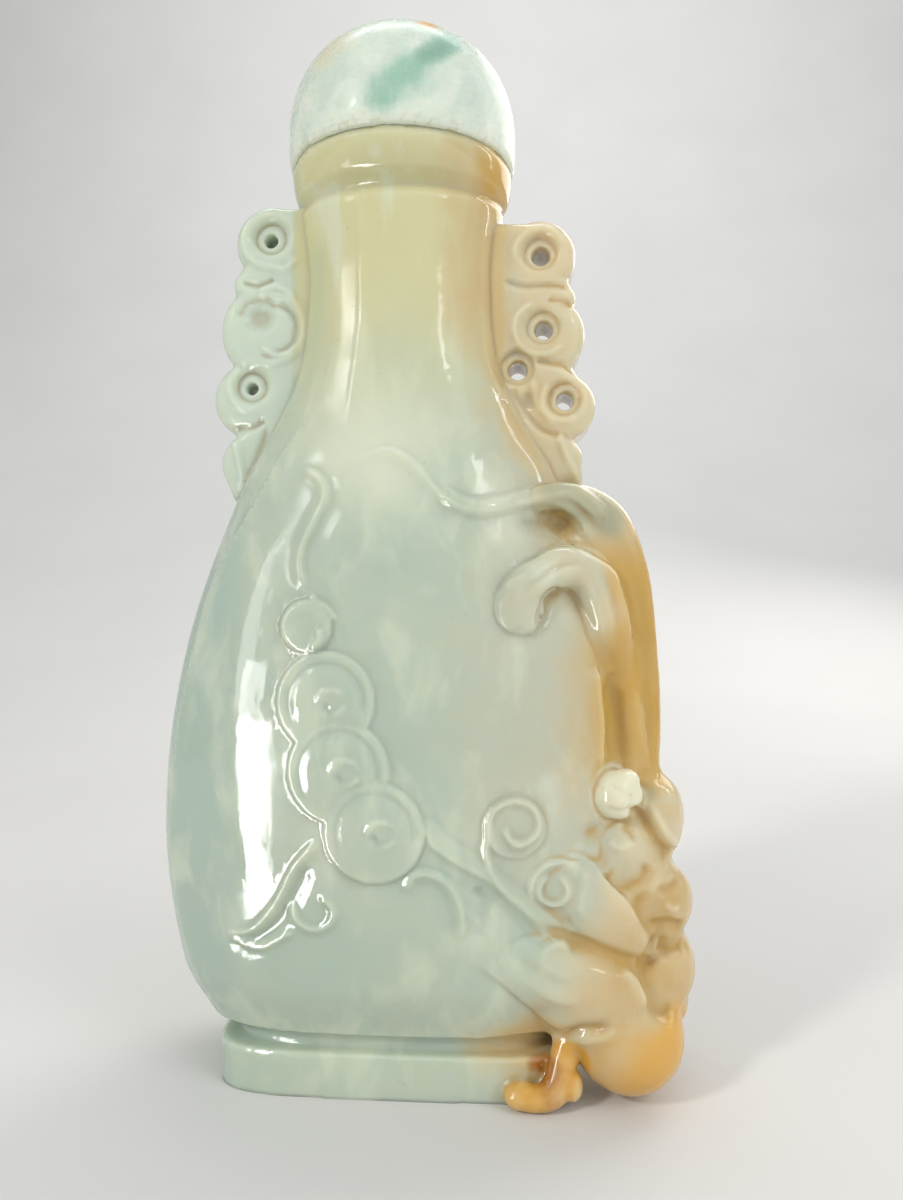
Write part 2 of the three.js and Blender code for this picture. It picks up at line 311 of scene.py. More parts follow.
def limb(name, points, radii, sides=5):
    """A round bar on a smooth curve through the points, its radius going through radii."""
    path = smooth_path(points, 6)
    along = np.linspace(0, len(radii) - 1, len(path))
    curve = bpy.data.curves.new(name, "CURVE")
    curve.dimensions = "3D"
    curve.bevel_depth = MM
    curve.bevel_resolution = sides
    curve.use_fill_caps = True
    spline = curve.splines.new("POLY")
    spline.points.add(len(path) - 1)
    for point, co, radius in zip(spline.points, path, np.interp(along, range(len(radii)), radii)):
        point.co = (*(co * MM), 1)
        point.radius = radius
    stand(name, curve)
    bpy.ops.object.convert(target="MESH")
    return bpy.context.object


def lump(name, centre, radii, tilt=0.0, sides=32):
    """An oval body, its long end tilted down to the right by tilt degrees."""
    deselect()
    bpy.ops.mesh.primitive_uv_sphere_add(
        segments=sides, ring_count=sides // 2, radius=MM, location=[v * MM for v in centre]
    )
    piece = bpy.context.object
    piece.name = name
    piece.scale = radii
    piece.rotation_euler.y = math.radians(tilt)
    return place(piece)


# ---------------------------------------------------------------- forms of the stone


def body_forms():
    """The foot, the waist, and the body with its neck, collar and lip."""
    foot = ring_stack("foot", [0, 0.2, FOOT_TOP - 0.2, FOOT_TOP], lambda z: plain_section(z, FOOT), 96)
    waist = ring_stack("waist", [FOOT_TOP - 1, BODY_BOTTOM + 1], lambda z: plain_section(z, WAIST), 96)
    heights = np.concatenate([np.arange(BODY_BOTTOM, 60.2, 0.8), np.arange(60.4, MOUTH_Z, 0.25), [MOUTH_Z]])
    body = ring_stack("body", list(heights), lambda z: stations_at(BODY_STATIONS, z), 96)
    return [foot, waist, body]


# Each handle is a fretted plate: scrolls (x, z, radius) down its edge with a bead between
# the first two, and a leaf that runs out onto the shoulder. x is measured outwards.
HANDLES = [
    {
        "side": -1,
        "root": [(9.8, 41), (7.4, 45), (6, 52), (6, 60.8)],
        "scrolls": [(9.2, 58.6, 2.4), (10.9, 55.6, 0.9), (9.3, 52.3, 3.4), (10.7, 47.4, 2.5)],
        "leaf": (10.9, 42.8, 1.8),
        "leaf_tip": (11.6, 39.9),
        "holes": [(9.3, 58.8, 0.75), (10.7, 48.2, 0.7)],
        "growth": 0.28,
        "sink": (1.7, 0.6),
        "dish": (10.0, 53.2, 1.5, 0.5),
        "lines": [
            (arc(9.3, 58.7, 1.85, (60, -110), 14), 0.2),
            ([(9.0, 56.8), (8.2, 56.6), (7.3, 57.3)], 0.16),
            ([(8.9, 55.9), (10.0, 55.5), (11.2, 55.7)], -0.3),
            ([(10.2, 54.9), (9.0, 55.3), (7.9, 54.9), (7.2, 53.8)], 0.2),
            (arc(9.2, 52.3, 2.4, (70, 290), 14), 0.16),
            (arc(9.2, 52.3, 1.8, (90, 300), 12), -0.24),
            ([(8.6, 53.6), (9.6, 54.4), (10.9, 54.2), (11.5, 53.2)], -0.2),
            ([(7.2, 51.2), (7.9, 50.6), (8.9, 50.5), (9.8, 51.0)], 0.2),
            (arc(10.6, 48.2, 1.6, (60, -110), 12), 0.16),
            ([(9.6, 45.9), (10.4, 45.4), (11.8, 45.2)], -0.34),
            ([(11.9, 44.6), (11.5, 43.0), (11.2, 41.4)], 0.2),
            ([(9.4, 45.6), (10.0, 43.6), (10.7, 41.6), (11.1, 40.6)], -0.22),
        ],
    },
    {
        "side": 1,
        "root": [(10.4, 41.6), (7.4, 45), (6, 51), (6, 59.6)],
        "scrolls": [(9.9, 57.2, 2.5), (11.5, 54.3, 0.9), (10.3, 51.7, 2.75), (11.5, 46.6, 2.3)],
        "leaf": (11.6, 43, 1.3),
        "leaf_tip": (13, 40.8),
        "holes": [(10, 57.2, 0.68), (10.2, 52, 0.68), (8.4, 49.2, 0.7), (11.7, 47, 0.66)],
        "growth": 0.05,
        "sink": (1.6, 0.45),
        "dish": (9.2, 47.0, 0.9, 0.3),
        "lines": [
            (arc(9.9, 57.2, 1.75, (200, 20), 14), 0.2),
            ([(7.4, 55.4), (8.8, 55.0), (10.6, 55.0), (11.9, 54.9)], -0.3),
            ([(10.4, 54.0), (11.3, 53.9), (12.2, 53.7)], -0.2),
            (arc(10.0, 52.0, 1.85, (100, 330), 14), 0.22),
            ([(9.6, 49.8), (10.4, 49.6), (11.6, 49.4), (12.4, 48.9)], -0.3),
            (arc(11.6, 47.0, 1.5, (130, 310), 12), 0.2),
            ([(7.9, 48.0), (8.8, 46.4), (10.0, 45.0), (11.4, 44.4)], -0.24),
            ([(9.4, 48.6), (9.8, 46.6), (10.9, 45.2)], 0.2),
            ([(11.2, 44.6), (11.8, 43.2), (12.5, 41.6)], 0.22),
        ],
    },
]
SCROLL_SWEEPS = [(110, -40), (50, -50), (42, -50), (60, -75)]
LEAF_SWEEP = (50, -20)
HANDLE_BEVEL = 0.9
HANDLE_REACH = (7.0, 38.5, 61.5)  # the plates' carved part: from this far out, and between these heights


def handle_form(handle):
    """The plate's outline and holes as a flat curve, thickened with round edges."""
    side = handle["side"]
    outline = list(handle["root"])
    for scroll, sweep in zip(handle["scrolls"], SCROLL_SWEEPS):
        outline += arc(*scroll, sweep)
    outline += arc(*handle["leaf"], LEAF_SWEEP) + [handle["leaf_tip"]]
    holes = [arc(*hole, (0, 345), 24) for hole in handle["holes"]]
    curve = bpy.data.curves.new("handle", "CURVE")
    curve.dimensions = "2D"
    curve.fill_mode = "BOTH"
    curve.extrude = (HANDLE_THICKNESS / 2 - HANDLE_BEVEL) * MM
    curve.bevel_depth = HANDLE_BEVEL * MM
    curve.bevel_resolution = 3
    curve.offset = (handle["growth"] - HANDLE_BEVEL) * MM
    for loop in [outline] + holes:
        spline = curve.splines.new("POLY")
        spline.use_cyclic_u = True
        spline.points.add(len(loop) - 1)
        for point, (x, z) in zip(spline.points, loop):
            point.co = (side * x * MM, z * MM, 0, 1)
    stand("handle", curve)
    bpy.ops.object.convert(target="MESH")
    piece = bpy.context.object
    piece.rotation_euler = (math.pi / 2, 0, 0)
    return place(piece)


# The carving on the right flank: centres, radii, and a tilt in degrees down to the right.
BALL = ((15.7, -5.0, 4.1), 3.75)
BEAD = ((14.9, -6.3, 20.3), 1.6)
LUMPS = [
    ((16.9, -3.3, 18.0), (2.8, 3.0, 3.5), 14),
    ((15.2, -5.4, 16.6), (1.9, 1.7, 1.9), 0),
    ((16.5, -4.2, 14.4), (2.6, 2.6, 2.4), 30),
    ((18.0, -3.4, 12.7), (2.3, 2.8, 2.7), 0),
    ((17.6, -3.2, 8.0), (2.9, 3.2, 3.3), 10),
    ((18.3, -1.4, 5.2), (2.1, 2.6, 2.4), 0),
    ((17.2, 0.8, 15.0), (2.4, 3.2, 4.0), 0),
    ((17.0, 1.2, 8.6), (2.6, 3.6, 3.8), 0),
]
LEAVES = [
    ((11.2, -7.0, 14.5), (2.3, 1.5, 2.2), 0),
    ((13.6, -6.3, 13.0), (4.3, 2.1, 2.5), 42),
    ((10.0, -6.6, 9.4), (5.6, 2.4, 2.6), 26),
    ((13.4, -6.2, 7.4), (4.2, 2.6, 3.6), 38),
]
FOOT_CURLS = [
    ((8.6, -7.2, 0.9), (1.15, 1.1, 0.85)),
    ((11.9, -6.9, 1.5), (0.7, 0.9, 1.0)),
]
CURL_STALK = [(8.4, -7.2, 1.0), (9.6, -7.5, 0.9), (10.7, -7.3, 1.3), (11.2, -6.8, 2.5), (11.7, -6.1, 3.8),
              (12.8, -5.2, 5.0)]


def fruit_forms():
    """The fruit's lobes, the leaves over them, the bead, the ball and the curls by the foot."""
    pieces = [lump("fruit", *form) for form in LUMPS]
    pieces += [lump("leaf", *form, 48) for form in LEAVES]
    pieces.append(lump("bead", BEAD[0], [BEAD[1]] * 3))
    x, y, z = BEAD[0]
    pieces.append(lump("bead_top", (x + 0.45, y - 0.2, z + 0.95), (0.95, 0.95, 0.8)))
    pieces.append(lump("ball", BALL[0], [BALL[1]] * 3, 0, 48))
    pieces += [lump("foot_curl", *form) for form in FOOT_CURLS]
    pieces.append(limb("curl_stalk", CURL_STALK, [0.9, 0.85, 1.0, 0.9, 1.1, 1.5]))
    return pieces


STROKE = 0.6  # how far one round of rubbing takes a point towards its neighbours


def soften(piece, weight, rounds):
    """Melts the forms into each other where weight is 1, as rubbing with fine grit does."""
    points = points_of(piece)
    first, second = edges_of(piece)
    active = (weight[first] > 0) | (weight[second] > 0)
    first, second = first[active], second[active]
    degree = np.bincount(first, minlength=len(points)) + np.bincount(second, minlength=len(points))
    pull = STROKE * weight
    for _ in range(rounds):
        for column in points.T:
            column += pull * (neighbour_sum(column, first, second) / np.maximum(degree, 1) - column)
    move_points(piece, points)


def soften_fruit(piece):
    """Rubs down the fruit, then the leaf's tip, then the branch and the flank, but not the bead."""
    points = points_of(piece)
    x, z = points[:, 0], points[:, 2]
    off_bead = smoothstep(BEAD[1] + 0.3, BEAD[1] + 1.0, np.linalg.norm(points - BEAD[0], axis=1))
    fruit = smoothstep(6.0, 9.5, x) * smoothstep(20.5, 18.5, z)
    fruit *= off_bead
    fruit *= smoothstep(3.3, 4.2, z + smoothstep(12.5, 14.0, x) * 3.0)
    soften(piece, fruit, 36)
    soften(piece, blot(points_of(piece), (16.2, -5.6, 10.8), (1.6, 2.5, 1.8)), 60)
    flank = smoothstep(19, 21, z) * smoothstep(42.5, 41.0, z)
    flank *= np.maximum(smoothstep(11.8, 13.6, x), smoothstep(8.6, 9.6, x) * smoothstep(37.5, 38.5, z))
    flank *= off_bead
    soften(piece, flank, 22)


def branch_forms():
    """The branch round the shoulder and down the flank, its web, and the hooked bud."""
    spine = [(8.0, -4.9, 39.2), (9.8, -4.6, 39.5), (11.4, -4.2, 39.8), (13.0, -3.6, 39.6),
             (14.8, -2.85, 38.1), (16.1, -2.4, 34.4), (16.8, -2.4, 29.6), (17.1, -2.6, 25.2),
             (16.9, -3.2, 21.6), (16.7, -3.2, 18.0)]
    web = [(9.6, -2.6, 39.8), (12.4, -2.8, 38.0), (14.6, -3.0, 34.4), (15.4, -3.2, 29.6),
           (15.7, -3.4, 25.0), (15.7, -3.4, 19.0)]
    arch = [(8.3, -7.2, 31.6), (8.6, -7.3, 33.5), (10.4, -6.9, 34.8), (12.4, -5.9, 34.9),
            (13.9, -5.1, 33.2), (14.5, -4.7, 30.9), (15.0, -4.3, 28.8), (15.0, -4.1, 27.2)]
    return [
        limb("branch", spine, [0.8, 1.0, 1.15, 1.3, 1.5, 1.5, 1.3, 1.2, 1.2, 1.2]),
        limb("web", web, [1, 1.8, 1.8, 1.6, 1.5, 1.5]),
        limb("hook", arch, [1.3, 1.35, 1.2, 1.35, 1.6, 1.6, 0.95, 0.3]),
        lump("bulb", (8.35, -7.3, 32.4), (1.7, 1.3, 1.95)),
    ]


# ---------------------------------------------------------------- polish


def polish_body(piece):
    """Brings the points close to the ideal outside onto it, and the foot and the mouth level."""
    points = points_of(piece)
    z = points[:, 2]
    ratio, gap = stand_off(points)
    keep = smoothstep(0.24, 0.10, gap) * (z >= FOOT_TOP + 0.3)
    keep *= (smoothstep(BODY_BOTTOM + 0.1, BODY_BOTTOM + 0.6, z)
             * smoothstep(MOUTH_Z - 0.1, MOUTH_Z - 0.5, z))
    points[:, :2] *= (1 + keep * (1 / ratio - 1))[:, None]
    points[z < 0.12, 2] = 0
    points[np.abs(z - MOUTH_Z) < 0.15, 2] = MOUTH_Z
    move_points(piece, points)


# ---------------------------------------------------------------- carving

EDGE = 0.2  # how far a carved edge takes to rise, at this grain
FADE = 0.12  # share of a line's length in which it rises or dies away, where no other is given
REACH = 2.6  # how many soft widths out a line still tells
STRETCH = 12  # how many points of a path are measured at a time


class Carving:
    """The finished stone's points, and how far each one is raised along its normal."""

    def __init__(self, piece):
        self.piece = piece
        self.points = points_of(piece)
        self.normals = normals_of(piece)
        self.lift = np.zeros(len(self.points))
        self.crease = np.zeros(len(self.points))
        on_body = (stand_off(self.points)[1] < 0.5) & (self.points[:, 2] > BODY_BOTTOM)
        self.front = (self.normals[:, 1] < -0.15) & on_body
        self.back = (self.normals[:, 1] > 0.15) & on_body

    def near(self, path, reach, allowed):
        """The points near a path, their distance to it, on which hand they are and how far along.

        A path of [x, z] points is measured as it looks from the front.
        """
        flat = path.shape[1] == 2
        points = self.points[:, [0, 2]] if flat else self.points
        inside = np.all((points > path.min(0) - reach) & (points < path.max(0) + reach), axis=1)
        found = np.flatnonzero(inside & allowed)
        points = points[found]
        nearest = np.full(len(found), float(reach))
        place = np.zeros(len(found), int)
        for first in range(0, len(path), STRETCH):
            stretch = path[first : first + STRETCH + 1]
            low, high = stretch.min(0) - reach, stretch.max(0) + reach
            near = np.flatnonzero(np.all((points > low) & (points < high), axis=1))
            if not len(near):
                continue
            gap = np.sqrt(((points[near][:, None] - stretch[None]) ** 2).sum(2))
            closest = gap.argmin(1)
            gap = gap[np.arange(len(near)), closest]
            better = gap < nearest[near]
            nearest[near[better]] = gap[better]
            place[near[better]] = first + closest[better]
        close = nearest < reach
        found, nearest, place = found[close], nearest[close], place[close]
        tangent = np.gradient(path, axis=0)[place]
        offset = points[close] - path[place]
        if flat:
            hand = tangent[:, 1] * offset[:, 0] - tangent[:, 0] * offset[:, 1]
        else:
            hand = (np.cross(tangent, self.normals[found]) * offset).sum(1)
        return found, nearest, hand, place / len(path)

    def line(self, path, height, left, right, allowed, fade=FADE, ink=0.0, flat=2):
        """Raises (or with a negative height cuts) a line.

        Left and right are its soft widths on either hand of someone who walks along it. Ink
        darkens its bed, and a higher flat gives it a flat top and crisp edges.
        """
        dense = smooth_path(path, 10)
        found, distance, hand, along = self.near(dense, REACH * max(left, right), allowed)
        width = np.where(hand > 0, right, left)
        shape = np.exp(-((distance / width) ** flat))
        shape *= smoothstep(0, fade, along) * smoothstep(1, 1 - fade, along)
        under = self.lift[found]
        if height > 0:
            under = under - np.minimum(under, 0) * shape
        self.lift[found] = under + height * shape
        if ink:
            self.crease[found] = np.maximum(self.crease[found], ink * shape)

    def cushion(self, centre, radius, height, allowed, dish=0.0, ink=0.0):
        """Raises a round cushion with a crisp edge over the face, and cuts what it covers."""
        x, z = self.points[:, 0] - centre[0], self.points[:, 2] - centre[1]
        reach = np.hypot(x, z)
        over = smoothstep(radius, radius - EDGE, reach) * allowed
        dome = height * np.sqrt(np.clip(1 - (reach / (1.35 * radius)) ** 2, 0, 1))
        dome = dome - dish * smoothstep(radius - 0.7, radius - 1.3, reach)
        self.lift = self.lift * (1 - over) + dome * over
        self.crease = np.maximum(self.crease * (1 - over),
                                 ink * allowed * np.exp(-(((reach - radius) / 0.22) ** 2)))

    def over(self, path, height, left, right, side=-1, **more):
        """A line over whatever stands foremost, its path given as [x, z] points."""
        foremost = (self.normals[:, 1] * side > 0.05) & (self.points[:, 1] * side > -0.5)
        self.line(path, height, left, right, foremost, **more)

    def finish(self):
        move_points(self.piece, self.points + self.normals * self.lift[:, None])


def cut_all(cut, table):
    """Cuts a table of lines: path, height, left, right and, where they differ, fade and ink."""
    for path, height, left, right, *more in table:
        cut(path, height, left, right, **dict(zip(("fade", "ink"), more)))


def carve_front(stone):
    """The polished ridges, the clouds and scrolls, and the wave line on the broad front."""
    face = stone.front

    def line(path, height, left, right, **more):
        stone.line(on_face(path), height, left, right, allowed=face, **more)

    # A long crisp ridge where the broad face turns into the left flank, and the flank's facet.
    cut_all(line, [
        ([(-12.6, 6.4), (-14.2, 10), (-15.2, 16), (-14.9, 23), (-13.6, 30), (-11.8, 35.4), (-8.4, 41.4),
          (-6.0, 45.4)], 0.2, 0.22, 0.9),
        ([(-15.6, 18), (-15.3, 24), (-14.2, 30), (-12.6, 35.4), (-9.4, 41.2)], -0.14, 0.9, 0.6),
        ([(-8.8, 14.8), (-9.9, 20), (-10.2, 26), (-9.6, 32), (-7.6, 38)], 0.1, 0.5, 1.2),
    ])
    # Facets that the polishing left down the neck.
    for across in (-4.1, -2.4, 5.9):
        spread = 1.0 + 0.14 * abs(across)
        line([(across * spread, 43.6), (across * 1.2, 47.4), (across, 52.0), (across, 56.0), (across, 60.0)],
             0.07, 0.16, 0.9, fade=0.25)
    # The stem, a shallow band with a crisp edge that winds down from the shoulder.
    cut_all(line, [
        ([(-2.2, 29.8), (-2.8, 32.4), (-3.9, 34.6), (-3.7, 37.0), (-2.9, 39.0), (-3.4, 41.4)],
         0.12, 0.5, 0.9),
        ([(-5.2, 33.4), (-5.7, 34.9), (-5.6, 36.4), (-4.8, 38.3), (-4.2, 39.9), (-4.7, 41.2),
          (-6.0, 41.9)], 0.34, 0.6, 0.2, FADE, 0.2),
        ([(-5.1, 33.4), (-4.6, 32.9), (-3.9, 32.5), (-3.3, 31.7)], 0.3, 0.2, 0.3),
    ])
    # Scales of cloud, each lying over the one above it.
    stone.cushion((-5.25, 31.3), 1.8, 0.42, face, dish=0.1, ink=0.35)
    line([(-4.3, 31.2), (-4.2, 30.4), (-4.7, 29.8)], 0.3, 0.2, 0.3)
    scales = (((-3.9, 26.5), 3.3, 0.3), ((-3.0, 22.1), 3.4, 0.32), ((-0.7, 18.3), 3.3, 0.36))
    for centre, radius, height in scales:
        stone.cushion(centre, radius, height, face, ink=0.2)
        line(arc(*centre, radius - 0.8, (225, -30)), -0.14, 0.2, 0.45)
        eye = (centre[0] + 0.5, centre[1] - 0.1)
        line(arc(*eye, 0.9, (200, 20), 12), 0.2, 0.2, 0.34, fade=0.3)
        line(arc(eye[0] + 0.35, eye[1] - 0.1, 0.5, (20, -190), 10), 0.16, 0.2, 0.26, fade=0.3)
        stone.over(arc(*eye, 0.45, (160, 330), 8), -0.2, 0.3, 0.24, fade=0.3)
    # The great scroll's long tail runs off to the lower right.
    cut_all(line, [
        ([(11.2, 10.0), (9.6, 12.4), (7.2, 14.9), (4.6, 16.5), (3.1, 17.6), (2.4, 19.2)],
         0.26, 0.24, 0.6, FADE, 0.1),
        ([(12.4, 11.6), (10.6, 13.2), (8.6, 14.9), (6.2, 16.9), (4.2, 18.2), (2.8, 19.8)],
         -0.14, 0.4, 0.7),
        ([(10.0, 10.4), (8.6, 12.2), (6.6, 14.0), (4.4, 15.4)], -0.14, 0.4, 0.5),
    ])
    # The small scroll over the leaves.
    stone.cushion((8.2, 18.6), 2.0, 0.2, face, ink=0.2)
    line([(8.9, 12.4), (7.6, 14.4), (6.4, 16.6)] + list(volute((8.3, 18.7), 1.95, 195, -400, 16)),
         0.28, 0.2, 0.26, ink=0.1)
    stone.over([(7.9, 18.0), (8.2, 17.5), (8.7, 17.7)], 0.2, 0.24, 0.24, fade=0.3)
    # Curls under the great scroll's tail.
    cut_all(line, [
        ([(1.2, 14.4), (1.7, 15.6), (2.9, 15.8), (4.2, 15.0), (4.9, 13.2), (4.8, 11.4)],
         0.3, 0.24, 0.45, FADE, 0.15),
        ([(5.7, 15.0), (6.2, 13.4), (6.0, 11.6)], -0.2, 0.4, 0.6),
        # The cloud's tail at the lower left: a hollow band with a crisp upper edge.
        ([(-10.9, 11.3), (-8.9, 11.7), (-7.2, 13.5), (-5.8, 16.1), (-4.2, 17.9)],
         0.34, 0.2, 0.5, FADE, 0.2),
        ([(-10.6, 11.0), (-9.0, 10.9), (-7.4, 12.0), (-6.2, 13.8), (-5.0, 16.2)], -0.3, 0.5, 0.7),
        ([(-10.6, 11.0), (-8.3, 10.5), (-6.1, 11.7)], 0.24, 0.4, 0.24),
        (volute((-4.3, 13.4), 1.7, 165, 280), 0.28, 0.2, 0.34, FADE, 0.1),
        # The wave line over the face, which widens into the branch's flat band.
        ([(-3.6, 41.6), (-1.6, 42.7), (0.2, 42.9), (1.7, 41.9), (3.2, 40.1), (4.4, 39.0), (5.6, 38.9)],
         0.2, 0.2, 0.5, 0.3),
    ])
    stone.over([(3.2, 40.2), (4.3, 39.4), (5.6, 39.0), (7.0, 39.15), (8.7, 39.65), (10.2, 40.1), (11.8, 40.2),
                (13.2, 39.4), (14.2, 38.2)], 0.34, 0.6, 0.5, fade=0.1, flat=4)


def carve_back(stone):
    """Plainer cloud scrolls on the back, which the front's tail and branch run round to."""
    face = stone.back

    def line(path, height, left, right, **more):
        stone.line(on_face(path, 1), height, left, right, allowed=face, **more)

    for centre, radius in (((-3.6, 25.2), 3.2), ((-0.6, 18.6), 3.2)):
        stone.cushion((-centre[0], centre[1]), radius, 0.4, face, ink=0.35)
        line(arc(*centre, radius - 0.8, (225, -30)), -0.2, 0.4, 0.22, ink=0.15)
        line(arc(centre[0] + 0.3, centre[1] - 0.1, 0.95, (-40, 200), 12), 0.2, 0.26, 0.26)
    cut_all(line, [
        ([(9.5, 12.0), (7.2, 14.9), (4.4, 17.0), (2.9, 18.6)], 0.32, 0.3, 0.5, FADE, 0.2),
        ([(-4.6, 40.4), (-4.9, 36.4), (-5.4, 32.6), (-4.6, 28.6)], 0.34, 0.24, 0.7, FADE, 0.3),
        ([(-3.0, 41.8), (-0.6, 42.8), (1.6, 42.2), (4.2, 39.4), (8.4, 39.8), (11.4, 38.4)],
         0.32, 0.24, 0.6, FADE, 0.2),
    ])


def carve_branch(stone):
    """The pit under the branch, the hooked bud's crease and rim, and the flank's long edges."""
    cut_all(stone.over, [
        ([(7.6, 37.6), (9.3, 38.3), (11.0, 38.4), (12.1, 37.7), (12.6, 36.6)], -0.8, 0.5, 1.3, 0.45, 0.7),
        ([(7.9, 38.95), (9.3, 39.35), (10.7, 39.5), (11.8, 39.05), (12.8, 38.2), (13.4, 37.0)],
         0.2, 0.5, 0.2),
        ([(8.7, 33.2), (9.2, 33.9), (10.0, 34.5), (10.9, 35.1), (12.1, 35.4), (13.2, 34.9)],
         -0.16, 0.3, 0.22, 0.3),
        ([(9.2, 35.5), (10.2, 36.1), (11.4, 36.5), (12.7, 36.5), (13.8, 36.0), (14.5, 34.9),
          (15.0, 33.4), (15.5, 31.8), (16.1, 29.9)], 0.3, 0.18, 0.5, 0.2),
        ([(14.9, 35.4), (15.6, 33.4), (16.1, 31.6), (16.6, 29.6)], -0.26, 0.3, 0.26, 0.3),
        ([(9.6, 31.0), (9.9, 32.2), (10.4, 33.2), (11.2, 33.8)], -0.3, 0.3, 0.4, 0.25, 0.4),
        ([(12.4, 34.6), (13.2, 33.6), (13.6, 32.2), (14.0, 30.6)], 0.1, 0.2, 0.4, 0.3),
        ([(13.4, 35.2), (14.2, 34.0), (14.6, 32.4), (14.9, 30.8)], -0.1, 0.3, 0.2, 0.3),
        ([(7.4, 33.6), (8.0, 34.2), (9.0, 34.6)], 0.12, 0.2, 0.4, 0.3),
        ([(7.2, 32.4), (7.5, 31.4), (8.3, 30.9)], 0.12, 0.4, 0.2, 0.3),
        # The face's crisp edge, the valley beside it and the facet of the flank.
        ([(13.95, 21.6), (13.75, 23.4), (13.8, 24.8), (13.65, 26.2), (13.6, 27.4), (13.4, 28.8)],
         0.4, 0.5, 0.16, 0.15),
        ([(15.0, 21.6), (14.8, 24.0), (14.7, 26.5), (14.5, 28.4)], -0.5, 0.55, 0.9, 0.3, 0.35),
        ([(17.3, 21.2), (16.9, 23.4), (16.6, 25.4), (16.2, 27.6)], 0.16, 0.5, 0.2, 0.3),
    ])


def carve_fruit(stone):
    """The bead's segments, the facets of the fruit, the leaves' folds and the ball's lip."""
    x, z = BEAD[0][0], BEAD[0][2]
    for path in (
        [(x - 0.6, z + 1.3), (x - 0.3, z + 0.7), (x + 0.4, z + 0.35), (x + 1.3, z + 0.6)],
        [(x + 0.9, z + 0.5), (x + 0.75, z - 0.3), (x + 0.5, z - 1.0)],
        [(x - 1.3, z - 0.5), (x - 0.4, z - 0.85), (x + 0.6, z - 0.8), (x + 1.3, z - 0.4)],
    ):
        stone.over(path, -0.16, 0.26, 0.26, fade=0.25)
    # The rind that folds over the fruit from the bead down to the right.
    cut_all(stone.over, [
        ([(15.9, 19.8), (16.4, 19.0), (17.1, 18.0), (17.8, 16.9), (18.7, 16.0)],
         -0.5, 0.35, 0.55, FADE, 0.6),
        ([(16.7, 20.0), (17.4, 18.9), (18.1, 17.7), (18.9, 16.6)], 0.2, 0.4, 0.24),
        ([(13.9, 15.6), (14.4, 14.8), (15.4, 14.5), (16.4, 14.9), (17.0, 15.9)],
         -0.36, 0.5, 0.5, FADE, 0.4),
        ([(14.2, 17.4), (15.0, 17.0), (15.9, 17.4)], 0.14, 0.3, 0.3),
        ([(16.4, 14.4), (16.4, 13.0), (17.2, 11.9), (18.4, 11.7), (19.4, 11.3)],
         -0.42, 0.45, 0.6, FADE, 0.5),
        ([(17.5, 10.4), (18.3, 10.1), (19.4, 10.0)], -0.36, 0.45, 0.45, FADE, 0.6),
        ([(17.1, 9.9), (16.8, 8.4), (17.3, 6.9), (18.5, 6.3)], -0.4, 0.4, 0.6, FADE, 0.5),
        ([(12.9, 19.0), (13.2, 18.0), (14.0, 17.6)], -0.3, 0.7, 0.7, 0.5, 0.4),
        ([(15.0, 18.3), (15.6, 17.9), (15.9, 17.2)], -0.2, 0.3, 0.3, 0.3, 0.5),
        ([(17.2, 14.3), (18.2, 14.2), (19.0, 14.6)], -0.18, 0.3, 0.35, 0.3, 0.4),
        ([(17.8, 13.4), (18.4, 12.9), (19.0, 12.9)], 0.14, 0.3, 0.3, 0.3),
        # The upper leaf: a crisp edge over the fruit and the long fold under it.
        ([(10.6, 16.8), (11.8, 16.7), (12.9, 16.1), (13.9, 15.0), (15.0, 13.9), (16.0, 12.6),
          (17.0, 11.2)], 0.26, 0.22, 1.0, 0.35),
        ([(8.6, 13.2), (9.8, 12.2), (11.4, 11.4), (13.0, 10.9), (14.8, 10.2), (16.3, 9.6), (17.8, 9.0)],
         -0.42, 0.4, 0.6, 0.3, 0.3),
        ([(12.1, 12.6), (12.3, 13.8), (12.6, 15.0), (12.5, 16.1)], 0.14, 0.3, 0.5, 0.3),
        # The scroll at the leaf's root.
        (arc(10.9, 14.6, 1.75, (215, 20), 14), 0.22, 0.2, 0.3, 0.25),
        (arc(10.6, 14.6, 0.9, (100, 440), 14), 0.2, 0.2, 0.26),
        # Folds of the lower leaf, and its rim over the body.
        ([(5.4, 10.2), (6.6, 9.4), (8.1, 8.1), (9.5, 6.7), (10.6, 5.6), (11.6, 4.9)], 0.2, 0.8, 0.2, 0.3),
        ([(16.6, 6.6), (16.3, 7.8), (15.6, 9.0), (14.7, 9.8)], 0.2, 0.6, 0.24, 0.3),
        ([(7.2, 11.2), (8.8, 10.2), (10.2, 9.2), (11.4, 8.9), (12.4, 9.4)], -0.14, 0.4, 0.4, 0.3),
        ([(8.2, 9.4), (9.6, 8.4), (11.2, 7.7), (12.6, 8.0)], 0.12, 0.4, 0.4, 0.3),
        (arc(10.9, 10.0, 1.1, (180, 30), 8), 0.12, 0.3, 0.3, 0.3),
        # The lip where the ball comes out of the leaf.
        ([(11.0, 4.3), (11.6, 5.0), (12.4, 5.6), (13.4, 5.85), (14.4, 6.5)], -0.5, 0.6, 0.24, 0.3, 0.3),
        ([(11.9, 4.4), (12.8, 5.0), (13.8, 5.4), (14.7, 6.1)], 0.16, 0.22, 0.5, 0.3),
    ])


